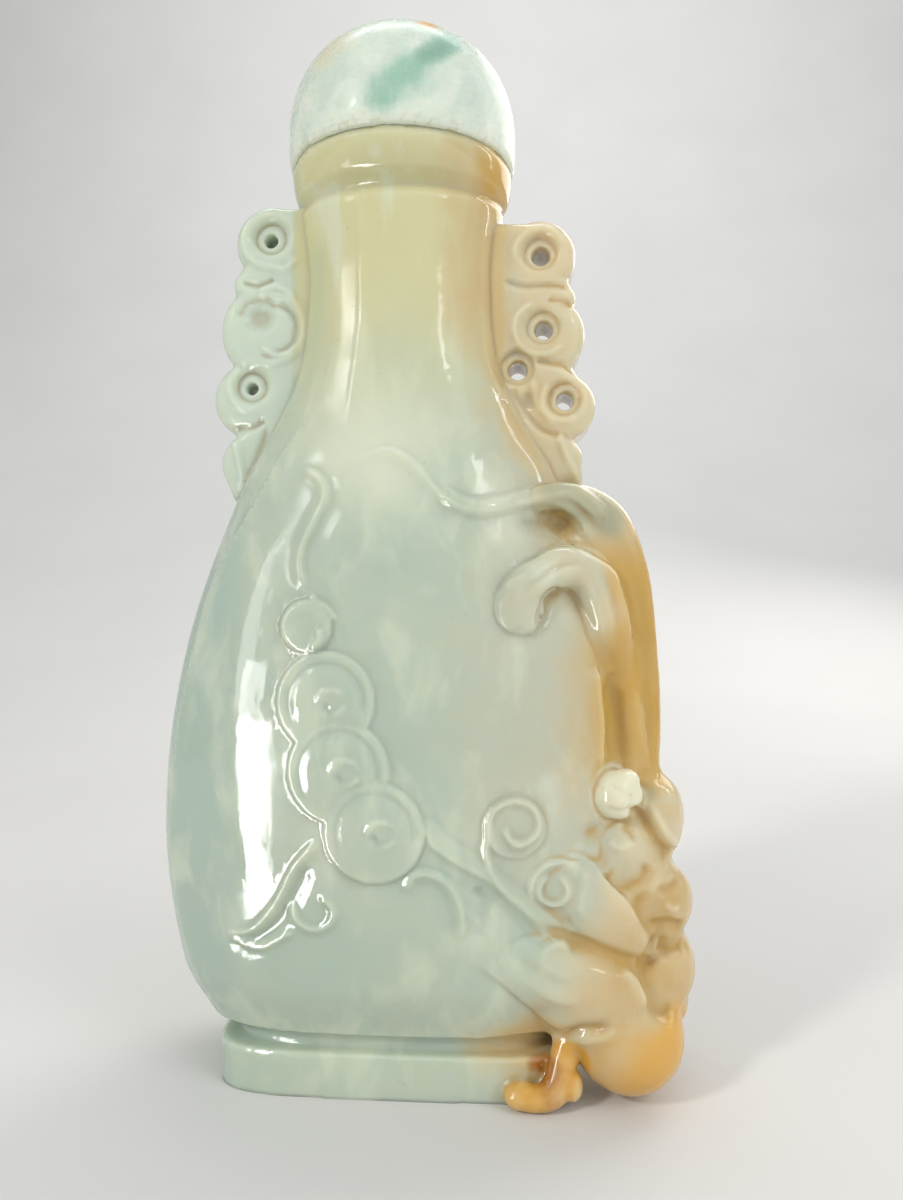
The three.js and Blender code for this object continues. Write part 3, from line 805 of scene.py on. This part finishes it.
def carve_handles(stone):
    """Raised rims, countersunk eyes and the grooves that part the scrolls, on both faces."""
    x, y, z = stone.points.T
    inner, low, high = HANDLE_REACH
    plate = smoothstep(0.5, 0.85, np.abs(stone.normals[:, 1]))
    off_middle = np.abs(y) - HANDLE_THICKNESS / 2
    for handle in HANDLES:
        side = handle["side"]
        flat = plate * (side * x > inner) * (z > low) * (z < high)
        flat *= (off_middle > -1.0) & (off_middle < 0.5)
        spread, depth = handle["sink"]
        for centre_x, centre_z, radius in handle["holes"]:
            reach = np.hypot(side * x - centre_x + 0.15, z - centre_z - 0.2)
            stone.lift -= depth * smoothstep(spread, 0.6 * radius, reach) * flat
            stone.crease = np.maximum(stone.crease, 0.6 * flat * smoothstep(spread, radius, reach))
        centre_x, centre_z, radius, depth = handle["dish"]
        reach = np.hypot(side * x - centre_x, z - centre_z)
        stone.lift -= depth * smoothstep(radius, 0.2, reach) * flat
        stone.crease = np.maximum(stone.crease, 0.35 * flat * smoothstep(radius, 0.2, reach))
        for turn in (-1, 1):
            for path, height in handle["lines"]:
                places = [(side * across, up) for across, up in path]
                stone.over(places, height, 0.24, 0.24, side=turn, ink=0.25 if height < 0 else 0.0)


def cut_cavity(piece):
    """Hollows the body and bores the neck."""
    heights = list(np.linspace(CAVITY_STATIONS[0][0], 50, 30)) + [56, MOUTH_Z + 1]
    cavity = ring_stack("cavity", heights, lambda z: stations_at(CAVITY_STATIONS, z), 64)
    modify(piece, "BOOLEAN", operation="DIFFERENCE", object=cavity, solver="MANIFOLD")
    bpy.data.objects.remove(cavity)


# The stone is joined from its forms, fused into one skin, rubbed down, hollowed and then carved.
forms = body_forms() + [handle_form(handle) for handle in HANDLES] + fruit_forms() + branch_forms()
bottle = join("jade_bottle", forms)
modify(bottle, "REMESH", mode="VOXEL", voxel_size=GRAIN * MM, adaptivity=0)
modify(bottle, "SMOOTH", factor=0.5, iterations=3)
soften_fruit(bottle)
cut_cavity(bottle)
polish_body(bottle)
stone = Carving(bottle)
for carve in (carve_front, carve_back, carve_branch, carve_fruit, carve_handles):
    carve(stone)
stone.finish()
paint(bottle, "crease", stone.crease)
faces = sum(len(face.vertices) - 2 for face in bottle.data.polygons)
if faces > MOST_FACES:
    modify(bottle, "DECIMATE", ratio=MOST_FACES / faces)
make_active(bottle)
bpy.ops.object.shade_smooth()

# ---------------------------------------------------------------- stopper and cork

CHEEK = 2.2  # height of the stopper's side under its dome
DOME_SQUARENESS = 2.2
CHIP_HEIGHT = 1.4  # how far up the rim the chips reach


def stopper_piece():
    """The domed cap: its profile spun round the axis, then chipped at the rim."""
    base = MOUTH_Z + CHEEK
    rise = STOPPER_TOP - MOUTH_Z - CHEEK
    power = 2 / DOME_SQUARENESS
    dome = [(STOPPER_RADIUS * math.cos(a) ** power, base + rise * math.sin(a) ** power)
            for a in np.linspace(0, math.pi / 2, 28)]
    rim = [(STOPPER_RADIUS - 0.35, MOUTH_Z), (STOPPER_RADIUS - 0.12, MOUTH_Z + 0.15),
           (STOPPER_RADIUS - 0.04, MOUTH_Z + 0.5), (STOPPER_RADIUS, MOUTH_Z + 1.2)]
    profile = [(0, MOUTH_Z)] + rim + dome[1:-1] + [(0, STOPPER_TOP)]
    mesh = bpy.data.meshes.new("jade_stopper")
    mesh.from_pydata([(r * MM, 0, z * MM) for r, z in profile],
                     [(i, i + 1) for i in range(len(profile) - 1)], [])
    piece = stand("jade_stopper", mesh)
    bpy.ops.object.mode_set(mode="EDIT")
    bpy.ops.mesh.select_all(action="SELECT")
    bpy.ops.mesh.spin(steps=128, angle=2 * math.pi, center=(0, 0, 0), axis=(0, 0, 1))
    bpy.ops.mesh.select_all(action="SELECT")
    bpy.ops.mesh.remove_doubles(threshold=0.001 * MM)
    bpy.ops.mesh.normals_make_consistent(inside=False)
    bpy.ops.object.mode_set(mode="OBJECT")
    bpy.ops.object.shade_smooth()
    chip_rim(piece)
    return piece


def chip_rim(piece):
    """Small chips round the stopper's lower edge."""
    points = points_of(piece)
    turn = np.arctan2(points[:, 1], points[:, 0])
    waves = ((7, 0.4), (13, 2.0), (23, 1.1), (41, 0.0))
    wear = sum(np.sin(turn * count + shift) for count, shift in waves) / len(waves)
    rim = (np.hypot(points[:, 0], points[:, 1]) > CORK_RADIUS + 1.5) & (points[:, 2] < MOUTH_Z + CHIP_HEIGHT)
    near_edge = rim * smoothstep(MOUTH_Z + CHIP_HEIGHT, MOUTH_Z, points[:, 2])
    points[:, :2] *= (1 - 0.022 * near_edge * smoothstep(0.0, 0.8, wear))[:, None]
    points[:, 2] += 0.16 * near_edge * smoothstep(0.1, 0.9, wear)
    move_points(piece, points)


stopper = stopper_piece()


def cork_piece():
    """The plug, tapered so that it clears the bore."""
    bottom = MOUTH_Z - CORK_LENGTH
    heights = [bottom, bottom + 0.3, bottom + 0.8, MOUTH_Z - 1, MOUTH_Z]
    widths = [CORK_RADIUS - 0.7, CORK_RADIUS - 0.4, CORK_RADIUS - 0.3, CORK_RADIUS - 0.05, CORK_RADIUS]

    def section(z):
        radius = np.interp(z, heights, widths)
        return radius, radius, np.full(len(z), 2.0)

    piece = ring_stack("cork_plug", heights, section, 48)
    make_active(piece)
    bpy.ops.object.shade_smooth_by_angle(angle=math.radians(40))
    return piece


cork = cork_piece()

# ---------------------------------------------------------------- colour of the stone

# The stone's colours, each a mix of red, green and blue light. SHADE and NECK_SHADE are painted shade.
CELADON = (0.45, 0.54, 0.44)
SHADE = (0.42, 0.52, 0.44)
CLOUD = (0.50, 0.56, 0.45)
SAND = (0.56, 0.54, 0.41)
MILK = (0.58, 0.66, 0.55)
PALE = (0.68, 0.72, 0.57)
OLIVE = (0.64, 0.61, 0.35)
CREAM = (0.66, 0.56, 0.36)
HONEY = (0.60, 0.46, 0.23)
AMBER = (0.56, 0.35, 0.08)
GOLD = (0.55, 0.38, 0.15)
ORANGE = (0.67, 0.38, 0.07)
RUST = (0.42, 0.17, 0.015)
TEAL = (0.34, 0.54, 0.43)
MOSS = (0.26, 0.43, 0.33)
NECK_SHADE = (0.46, 0.54, 0.34)
ICE = (0.60, 0.69, 0.59)
SNOW = (0.70, 0.76, 0.66)
GREY = (0.34, 0.37, 0.32)
DUSK = (0.36, 0.36, 0.24)
SMOKE = (0.42, 0.41, 0.28)
# Painted highlight colour for the fruit's raised lumps.
LUMP_HIGHLIGHT = (0.74, 0.66, 0.48)
BEAD_CREAM = (0.74, 0.73, 0.56)

# Where the honey skin of the pebble begins, as x at each height.
SKIN_Z = [0, 4, 8, 14, 20, 26, 32, 37, 41, 46, 52, 58, 64]
SKIN_X = [9.2, 9.6, 12.6, 12.8, 11.8, 11.6, 12.2, 11.6, 9.8, 6.8, 4.8, 4.3, 3.8]


def relief_of(piece, points, rounds):
    """How far each point stands out of its neighbourhood, in millimetres."""
    first, second = edges_of(piece)
    degree = np.bincount(np.concatenate([first, second]), minlength=len(points))
    smooth = points.copy()
    for _ in range(rounds):
        for column in smooth.T:
            column[:] = 0.5 * column + 0.5 * neighbour_sum(column, first, second) / degree
    return ((points - smooth) * normals_of(piece)).sum(1)


def paint_bottle(piece):
    """Marks where each colour of the stone lies, and where highlights and shade are painted: first the
    places, then one layer for each.
    """
    points = points_of(piece)
    x, y, z = points.T
    skin = x - np.interp(z, SKIN_Z, SKIN_X)
    plate = smoothstep(3.8, 2.6, np.abs(y)) * smoothstep(39, 42, z)
    left_handle = smoothstep(-6.8, -8.4, x) * plate
    right_handle = smoothstep(6.8, 8.4, x) * plate
    fruit = smoothstep(8.0, 13.0, x) * smoothstep(24, 17, z) * smoothstep(4.5, 1.5, y)
    corner = smoothstep(34.0, 39.5, z) * smoothstep(45.0, 41.5, z) * smoothstep(8.0, 12.0, x)
    flank = smoothstep(13, 25, z) * smoothstep(44, 34, z) * smoothstep(7.5, 1.0, y)
    bud = np.maximum(strip(points, (8.4, -8.0, 32.5), (12.4, -7.0, 35.2), 1.7),
                     strip(points, (12.4, -7.0, 35.2), (13.9, -6.0, 32.2), 1.4))
    ball = smoothstep(1.6, 1.0, np.linalg.norm(points - BALL[0], axis=1) / BALL[1])
    ball *= smoothstep(9.4, 4.8, z)
    # Painted shade: the ball turns a deeper orange towards its lower right, away from the light.
    ball_shade = smoothstep(14.2, 19.6, x + 0.7 * (4 - z))
    recess = strip(points, (6.4, -6.2, 3.9), (10.6, -6.5, 4.9), 2.3)
    nub = np.maximum(strip(points, (8.3, -7.7, 0.8), (10.7, -7.7, 0.8), 1.1),
                     strip(points, (10.9, -7.4, 0.8), (11.7, -6.8, 3.2), 1.2))
    nub = smoothstep(0.12, 0.5, nub)
    # A darker, greyer patch over the branch's corner.
    smoke = strip(points, (10.8, -5.2, 40.2), (14.4, -4.2, 38.6), 1.5)
    paint(piece, "honey", smoothstep(-3.6, 3.0, skin) * (1 - 0.55 * right_handle) * (1 - 0.75 * fruit)
          * (1 - 0.3 * corner) * (1 - 0.5 * bud) + 0.7 * recess)
    paint(piece, "amber", smoothstep(-0.4, 3.0, skin) * flank * (1 - right_handle)
          * (1 - 0.4 * corner) * (1 - 0.7 * bud) + 0.9 * blot(points, (8.4, 0, 49.2), (1.4, 3.0, 1.4))
          + ball * (0.3 + 0.7 * ball_shade) + 0.85 * nub
          + 0.9 * smoothstep(3.6, 6.8, x) * smoothstep(58.5, 61, z))
    gold = smoothstep(9.0, 18.5, x + 0.35 * (14 - z)) * smoothstep(23, 18, z)
    gold = np.maximum(gold, 0.8 * blot(points, (14.0, -8.0, 6.5), (4.5, 4.0, 4.0)))
    leaf = blot(points, (11.5, -8.0, 10.5), (5.0, 4.0, 4.0))
    knuckle = blot(points, (14.3, -6.0, 31.6), (1.5, 2.5, 2.6))
    paint(piece, "cream", np.clip(
        0.8 * right_handle + 0.9 * gold + 0.4 * leaf + 0.5 * bud + 0.35 * knuckle, 0, 1))
    lower_handle = right_handle * smoothstep(14, 9, x) * smoothstep(56, 50, z)
    ripe_gold = np.clip(1.5 * gold - 0.35, 0, 1) * (1 - 0.5 * ball)
    paint(piece, "gold", ripe_gold * (1 - 0.5 * smoothstep(13, 17, z)) + 0.5 * lower_handle)
    paint(piece, "orange", np.clip(ball * (0.55 + 0.75 * ball_shade) + 0.85 * nub, 0, 1))
    paint(piece, "smoke", smoke)
    warmth = np.maximum(smoothstep(8.0, 11.5, x + 0.3 * np.maximum(14 - z, 0)), 0.5 * left_handle)
    paint(piece, "warmth", np.maximum(warmth, recess))
    paint(piece, "rust", np.clip(
        0.3 * nub + 1.5 * blot(points, (10.0, -6.9, 2.6), (1.1, 1.4, 0.8))
        + 0.5 * blot(points, (10.5, -7.7, 0.9), (0.8, 1.2, 1.0))
        + 0.5 * blot(points, (-5.3, -8.0, 30.1), (0.5, 1.0, 0.4)), 0, 1))
    paint(piece, "olive", smoothstep(38, 59, z) * (1 - left_handle) * (1 - right_handle))
    paint(piece, "milk", left_handle)
    # Painted highlight: a pale patch on the shoulder.
    paint(piece, "pale", 0.9 * blot(points, (-1.0, -7.0, 44.0), (6.5, 5.0, 7.5)))
    # Painted shade: a darker, cooler green down the left flank and on the neck's left facet.
    paint(piece, "deep", np.clip(smoothstep(-7.5, -13.0, x) * smoothstep(44, 38, z)
                                 + 0.8 * strip(points, (-5.8, -3.2, 45.0), (-5.3, -3.2, 57.0), 1.0), 0, 1))
    paint(piece, "warm", smoothstep(-3.0, 12.0, x) * smoothstep(3, 20, z))
    paint(piece, "bead", smoothstep(1.4, 1.15, np.linalg.norm(points - BEAD[0], axis=1) / BEAD[1]))
    # Painted highlight on raised edges and painted shade in hollows, read from how far each point stands out.
    relief = relief_of(piece, points, 10)
    paint(piece, "edge", smoothstep(0.01, 0.07, relief))
    paint(piece, "hollow", smoothstep(-0.01, -0.08, relief))
    # Painted highlight on the fruit's broad lumps and painted shade in the dips between them.
    broad = relief_of(piece, points, 70)
    carved = smoothstep(9.5, 12.5, x) * smoothstep(24, 20, z) * (1 - ball)
    paint(piece, "bulge_highlight", smoothstep(0.05, 0.35, broad) * carved)
    paint(piece, "dip", smoothstep(-0.02, -0.22, broad) * carved)


def paint_stopper(piece):
    """Marks the green patch, the beige side, the amber spot at the top and the worn rim."""
    points = points_of(piece)
    teal = strip(points, (-0.4, -8.1, 65.6), (1.6, -7.6, 67.4), 1.5)
    teal = np.maximum(teal, 1.25 * strip(points, (1.6, -7.6, 67.4), (3.9, -6.2, 70.0), 0.95))
    paint(piece, "teal", teal)
    paint(piece, "moss", strip(points, (2.3, -7.3, 68.2), (3.8, -6.3, 69.8), 0.9))
    paint(piece, "beige", np.maximum(blot(points, (-4.0, -5.5, 69.6), (2.4, 3.0, 2.4)),
                                     strip(points, (0.4, -4.8, 72.0), (2.8, -4.9, 71.5), 0.8)))
    paint(piece, "amber", blot(points, (2.3, -5.4, 71.4), (1.1, 1.2, 0.7)))
    paint(piece, "rim", smoothstep(MOUTH_Z + 0.9, MOUTH_Z + 0.1, points[:, 2]))


# ---------------------------------------------------------------- finishes


class Finish:
    """A procedural finish: one shader and the nodes that feed it."""

    def __init__(self, name):
        self.material = bpy.data.materials.new(name)
        self.material.use_nodes = True
        self.tree = self.material.node_tree
        self.shader = self.tree.nodes["Principled BSDF"]
        self.where = self.tree.nodes.new("ShaderNodeTexCoord").outputs["Object"]

    def node(self, kind, inputs=(), **settings):
        made = self.tree.nodes.new(kind)
        for name, value in settings.items():
            setattr(made, name, value)
        for name, value in dict(inputs).items():
            self.feed(made.inputs[name], value)
        return made

    def feed(self, socket, value):
        if isinstance(value, bpy.types.NodeSocket):
            self.tree.links.new(value, socket)
        elif isinstance(value, tuple) and len(value) == 3 and socket.type == "RGBA":
            socket.default_value = (*value, 1)
        else:
            socket.default_value = value

    def painted(self, name):
        return self.node("ShaderNodeAttribute", attribute_name=name).outputs["Fac"]

    def noise(self, size, detail=3.0, stretch=(1, 1, 1), turn=(0, 0, 0), warp=0.0, shift=(0, 0, 0)):
        """Cloudy noise whose patches are about size millimetres wide, drawn out by stretch."""
        scale = tuple(1 / (size * MM * s) for s in stretch)
        inputs = {0: self.where, "Rotation": turn, "Scale": scale, "Location": shift}
        place = self.node("ShaderNodeMapping", inputs)
        return self.node("ShaderNodeTexNoise",
                         {0: place.outputs[0], "Scale": 1.0, "Detail": detail, "Distortion": warp}).outputs[0]

    def reckon(self, operation, first, second):
        return self.node("ShaderNodeMath", {0: first, 1: second}, operation=operation).outputs[0]

    def ramp(self, value, low, high, to_low=0.0, to_high=1.0):
        inputs = {"Value": value, "From Min": low, "From Max": high, "To Min": to_low, "To Max": to_high}
        return self.node("ShaderNodeMapRange", inputs, interpolation_type="SMOOTHSTEP").outputs[0]

    def blend(self, amount, under, over):
        made = self.tree.nodes.new("ShaderNodeMix")
        made.data_type = "RGBA"
        self.feed(made.inputs["Factor"], amount)
        self.feed(made.inputs[6], under)
        self.feed(made.inputs[7], over)
        return made.outputs[2]

    def layers(self, colour, coats):
        """Lays coats of colour over each other: (how much, colour)."""
        for amount, over in coats:
            colour = self.blend(amount, colour, over)
        return colour

    def faint(self, name, share):
        """A painted patch, thinned to a share of its strength."""
        return self.reckon("MULTIPLY", self.painted(name), share)

    def ragged(self, name, noise, spread, low=0.3, high=0.7):
        """A painted patch whose border is broken up by noise."""
        shifted = self.reckon("MULTIPLY_ADD", noise, spread)
        shifted.node.inputs[2].default_value = -spread / 2
        return self.ramp(self.reckon("ADD", self.painted(name), shifted), low, high)

    def bump(self, layers):
        """Stacks height layers: (height, strength, depth in millimetres)."""
        normal = None
        for height, strength, depth in layers:
            inputs = {"Strength": strength, "Distance": depth * MM, "Height": height}
            made = self.node("ShaderNodeBump", inputs)
            if normal:
                self.feed(made.inputs["Normal"], normal)
            normal = made.outputs[0]
        self.feed(self.shader.inputs["Normal"], normal)


def polish(finish, glow):
    """What all the polished stone has in common: a deep clear shine and light inside it."""
    finish.shader.inputs["IOR"].default_value = 1.62
    finish.shader.inputs["Subsurface Weight"].default_value = glow
    finish.shader.inputs["Subsurface Radius"].default_value = (1.0, 0.85, 0.5)
    finish.shader.inputs["Subsurface Scale"].default_value = 1.6 * MM


def jade_finish():
    """Celadon with clouds and wisps, an olive neck, a honey skin, dirt in its creases, painted shade in its
    hollows and painted highlights on its edges and lumps.
    """
    finish = Finish("jade")
    wide = finish.noise(9.0, 3, warp=0.6)
    cloud = finish.noise(3.6, 5, stretch=(1, 1, 1.7), turn=(0, 0.5, 0), warp=1.2)
    wisp = finish.noise(2.6, 7, stretch=(1, 1, 1.8), turn=(0, 0.6, 0), warp=0.4, shift=(3, 1, 7))
    grain = finish.noise(0.5, 4)
    streak = finish.noise(1.7, 3, stretch=(1, 1, 9), shift=(9, 2, 4))
    olive = finish.painted("olive")
    neck_shade = finish.reckon("MULTIPLY", finish.reckon("MULTIPLY", finish.painted("deep"), olive), 0.8)
    # Painted highlights: pale vertical streaks of light down the neck.
    neck_lights = finish.reckon("MULTIPLY", finish.ramp(streak, 0.5, 0.68, 0, 0.6), olive)
    fleck = finish.noise(0.55, 5, warp=1.5, shift=(5, 5, 2))
    flecks = finish.reckon("MULTIPLY", finish.ramp(fleck, 0.66, 0.74), finish.ramp(wide, 0.45, 0.6))
    # Dark olive to amber, used both for the dirt in the creases and for the painted shade in the hollows.
    dirt_and_shade = finish.blend(finish.painted("warmth"), DUSK, AMBER)
    hollow_shade_depth = finish.ramp(finish.painted("warmth"), 0.0, 1.0, 0.16, 0.5)
    colour = finish.layers(CELADON, [
        (finish.ramp(wide, 0.35, 0.65), CLOUD),
        # Painted shade on the left flank and the neck's left facet.
        (finish.ragged("deep", wide, 0.5, 0.2, 0.9), SHADE),
        (finish.ragged("warm", cloud, 0.7, 0.2, 1.3), SAND),
        (finish.ramp(wisp, 0.46, 0.7, 0, 0.5), PALE),
        # Painted highlight on the shoulder.
        (finish.ragged("pale", cloud, 0.5, 0.2, 1.0), PALE),
        (finish.ragged("olive", wide, 0.3, 0.0, 1.15), OLIVE),
        (neck_shade, NECK_SHADE),
        # Painted highlights down the neck.
        (neck_lights, PALE),
        (finish.ragged("milk", cloud, 0.3), MILK),
        (finish.ragged("honey", cloud, 0.9, 0.1, 1.0), HONEY),
        (finish.ragged("cream", cloud, 0.6, 0.2, 1.1), CREAM),
        (finish.ragged("amber", cloud, 0.6, 0.3, 1.1), AMBER),
        (finish.ragged("gold", wisp, 0.8, 0.2, 1.2), GOLD),
        (finish.ragged("orange", cloud, 0.4, 0.2, 1.0), ORANGE),
        (finish.ragged("smoke", wisp, 0.5, 0.1, 0.9), SMOKE),
        (finish.painted("bead"), BEAD_CREAM),
        (finish.ragged("rust", grain, 0.4, 0.3, 1.0), RUST),
        (finish.reckon("MULTIPLY", flecks, 0.35), GREY),
        # Painted highlight on the fruit's lumps and painted shade in its dips.
        (finish.faint("bulge_highlight", 0.4), LUMP_HIGHLIGHT),
        (finish.faint("dip", 0.4), AMBER),
        # Painted highlight on raised edges, painted shade in hollows, and dirt in the carved creases.
        (finish.faint("edge", 0.14), PALE),
        (finish.reckon("MULTIPLY", finish.painted("hollow"), hollow_shade_depth), dirt_and_shade),
        (finish.faint("crease", 0.4), dirt_and_shade),
    ])
    finish.feed(finish.shader.inputs["Base Color"], colour)
    rough = finish.ramp(cloud, 0.35, 0.7, 0.06, 0.15)
    rough = finish.reckon("ADD", rough, finish.faint("crease", 0.25))
    finish.feed(finish.shader.inputs["Roughness"], rough)
    ripple = finish.noise(1.3, 2, stretch=(1, 1, 1.6), shift=(1, 8, 3))
    finish.bump([(wide, 0.25, 0.5), (ripple, 0.22, 0.15), (grain, 0.06, 0.05)])
    polish(finish, 0.7)
    return finish.material


def stopper_finish():
    """Bluish white with a green patch brushed over it, a beige side and a worn pale rim."""
    finish = Finish("stopper_jade")
    cloud = finish.noise(3.0, 5, warp=1.0)
    grain = finish.noise(0.45, 4)
    brush = finish.noise(1.0, 5, stretch=(1, 1, 3), turn=(0, -0.8, 0), warp=0.8)
    crumbs = finish.reckon("MULTIPLY", finish.painted("rim"), finish.ramp(grain, 0.5, 0.62))
    colour = finish.layers(ICE, [
        (finish.ramp(cloud, 0.35, 0.65), SNOW),
        (finish.ragged("beige", cloud, 0.6, 0.3, 1.2), (0.68, 0.64, 0.45)),
        (finish.ragged("teal", brush, 0.7, 0.2, 1.0), TEAL),
        (finish.ragged("moss", brush, 0.5, 0.2, 1.0), MOSS),
        (finish.ragged("amber", grain, 0.3, 0.3, 0.9), (0.72, 0.40, 0.12)),
        (finish.faint("rim", 0.6), (0.82, 0.86, 0.72)),
        (finish.reckon("MULTIPLY", crumbs, 0.5), (0.56, 0.52, 0.38)),
    ])
    finish.feed(finish.shader.inputs["Base Color"], colour)
    finish.feed(finish.shader.inputs["Roughness"], finish.ramp(grain, 0.3, 0.7, 0.2, 0.36))
    finish.shader.inputs["Specular IOR Level"].default_value = 0.3
    finish.bump([(cloud, 0.15, 0.3), (grain, 0.04, 0.05)])
    polish(finish, 0.6)
    return finish.material


def cork_finish():
    """Brown cork with dark pores."""
    finish = Finish("cork")
    cells = finish.node("ShaderNodeTexVoronoi", {"Vector": finish.where, "Scale": 1 / (0.6 * MM)})
    patches = finish.noise(1.5, 4)
    colour = finish.blend(finish.ramp(patches, 0.35, 0.65), (0.40, 0.24, 0.11), (0.55, 0.36, 0.19))
    colour = finish.blend(finish.ramp(cells.outputs["Distance"], 0.2, 0.05), colour, (0.14, 0.07, 0.03))
    finish.feed(finish.shader.inputs["Base Color"], colour)
    finish.shader.inputs["Roughness"].default_value = 0.85
    finish.bump([(cells.outputs["Distance"], 0.6, 0.15), (patches, 0.3, 0.1)])
    return finish.material


def floor_finish():
    """A plain pale sweep of paper."""
    finish = Finish("studio_floor")
    tone = finish.noise(60, 2)
    colour = finish.blend(tone, (0.66, 0.65, 0.63), (0.72, 0.71, 0.69))
    finish.feed(finish.shader.inputs["Base Color"], colour)
    finish.shader.inputs["Roughness"].default_value = 0.7
    finish.shader.inputs["Specular IOR Level"].default_value = 0.0
    return finish.material


paint_bottle(bottle)
paint_stopper(stopper)
for piece, node, slot_name, material in (
    (bottle, "bottle", "jade", jade_finish()),
    (stopper, "stopper", "stopper_jade", stopper_finish()),
    (cork, "cork", "cork", cork_finish()),
):
    piece.data.materials.clear()
    piece.data.materials.append(material)
    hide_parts(node)
    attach(piece, "root")

# ---------------------------------------------------------------- floor, light and camera

# The sweep, in metres: a square floor up to its back edge, a quarter turn in steps, and a wall.
FLOOR_SIZE = 2.4
FLOOR_BACK = 0.1
SWEEP_STEPS = 30
SWEEP_STRIDE = 0.03
WALL_HEIGHT = 0.8


def floor_piece():
    """A floor that sweeps up into a wall behind the bottle, with no line between them."""
    deselect()
    bpy.ops.mesh.primitive_plane_add(size=FLOOR_SIZE, location=(0, FLOOR_BACK - FLOOR_SIZE / 2, 0))
    piece = bpy.context.object
    piece.name = "floor"
    bpy.ops.object.mode_set(mode="EDIT")
    edit = bmesh.from_edit_mesh(piece.data)
    for face in edit.faces:
        face.select = False
    for edge in edit.edges:
        edge.select = all(vert.co.y > 0 for vert in edge.verts)
    edit.select_flush_mode()
    bmesh.update_edit_mesh(piece.data)
    for step in range(SWEEP_STEPS):
        angle = math.radians(90 * (step + 0.5) / SWEEP_STEPS)
        rise = (0, SWEEP_STRIDE * math.cos(angle), SWEEP_STRIDE * math.sin(angle))
        bpy.ops.mesh.extrude_region_move(TRANSFORM_OT_translate={"value": rise})
    bpy.ops.mesh.extrude_region_move(TRANSFORM_OT_translate={"value": (0, 0, WALL_HEIGHT)})
    bpy.ops.object.mode_set(mode="OBJECT")
    bpy.ops.object.shade_smooth()
    piece.data.materials.append(floor_finish())
    return place(piece)


floor = floor_piece()


def softbox(name, place_mm, aim_mm, size, power, colour=(1, 1, 1), glow=True, shine=True):
    """A lamp behind a soft screen. Without glow it is only a reflection, without shine only light."""
    light = bpy.data.lights.new(name, "AREA")
    light.shape = "RECTANGLE"
    light.size, light.size_y = size
    light.energy = power
    light.color = colour
    lamp = bpy.data.objects.new(name, light)
    lamp.location = Vector(place_mm) * MM
    lamp.rotation_euler = (Vector(aim_mm) - Vector(place_mm)).to_track_quat("-Z", "Y").to_euler()
    lamp.visible_camera = False
    lamp.visible_diffuse = glow
    lamp.visible_glossy = shine
    bpy.context.collection.objects.link(lamp)


KEY_PLACE = (-190, -210, 190)
MIDDLE = (0, 0, 35)  # of the bottle's body, which most lamps face
softbox("key", KEY_PLACE, MIDDLE, (0.045, 0.045), 0.42, (1.0, 0.98, 0.94), shine=False)
softbox("sparkle", KEY_PLACE, MIDDLE, (0.045, 0.045), 0.11, glow=False)
softbox("glint", (110, -180, 160), MIDDLE, (0.02, 0.03), 0.01, glow=False)
# Small bright cards close by, which show only as the long stripes of shine.
softbox("middle_card", (-20.8, -22.2, 28.6), (-8, -9, 27), (0.0036, 0.006), 0.0004, glow=False)
softbox("low_card", (-20, -23, 13), (-8, -9, 16), (0.006, 0.026), 0.006, glow=False)
softbox("high_card", (-22.4, -20.2, 36), (-8, -8, 33), (0.005, 0.018), 0.0008, glow=False)
softbox("side_card", (90, 10, 105), (5, -4, 55), (0.004, 0.09), 0.008, glow=False)
# The soft light of the room, the wall's own lamp, and one from behind for the edges.
softbox("fill", (210, -150, 110), MIDDLE, (0.16, 0.3), 0.4, (0.97, 0.98, 1.0), shine=False)
softbox("backdrop", (0, 200, 650), (0, 800, 150), (0.5, 0.3), 2.0)
softbox("back", (160, 190, 200), MIDDLE, (0.2, 0.2), 0.3, (1.0, 0.97, 0.92))

world = bpy.data.worlds.new("studio")
world.use_nodes = True
sky = world.node_tree.nodes["Background"]
sky.inputs["Color"].default_value = (0.85, 0.88, 0.92, 1)
sky.inputs["Strength"].default_value = 0.54
bpy.context.scene.world = world
bpy.context.scene.view_settings.view_transform = "Standard"

CAMERA_PLACE = (8.22, -66.59, 33.0)
CAMERA_YAW = math.radians(4)
camera_data = bpy.data.cameras.new("camera")
camera_data.lens = 27.42
camera_data.sensor_width = 36
camera_data.clip_start = 0.001
camera = bpy.data.objects.new("camera", camera_data)
camera.location = Vector(CAMERA_PLACE) * MM
camera.rotation_euler = (math.pi / 2, 0, CAMERA_YAW)
bpy.context.collection.objects.link(camera)
bpy.context.scene.camera = camera
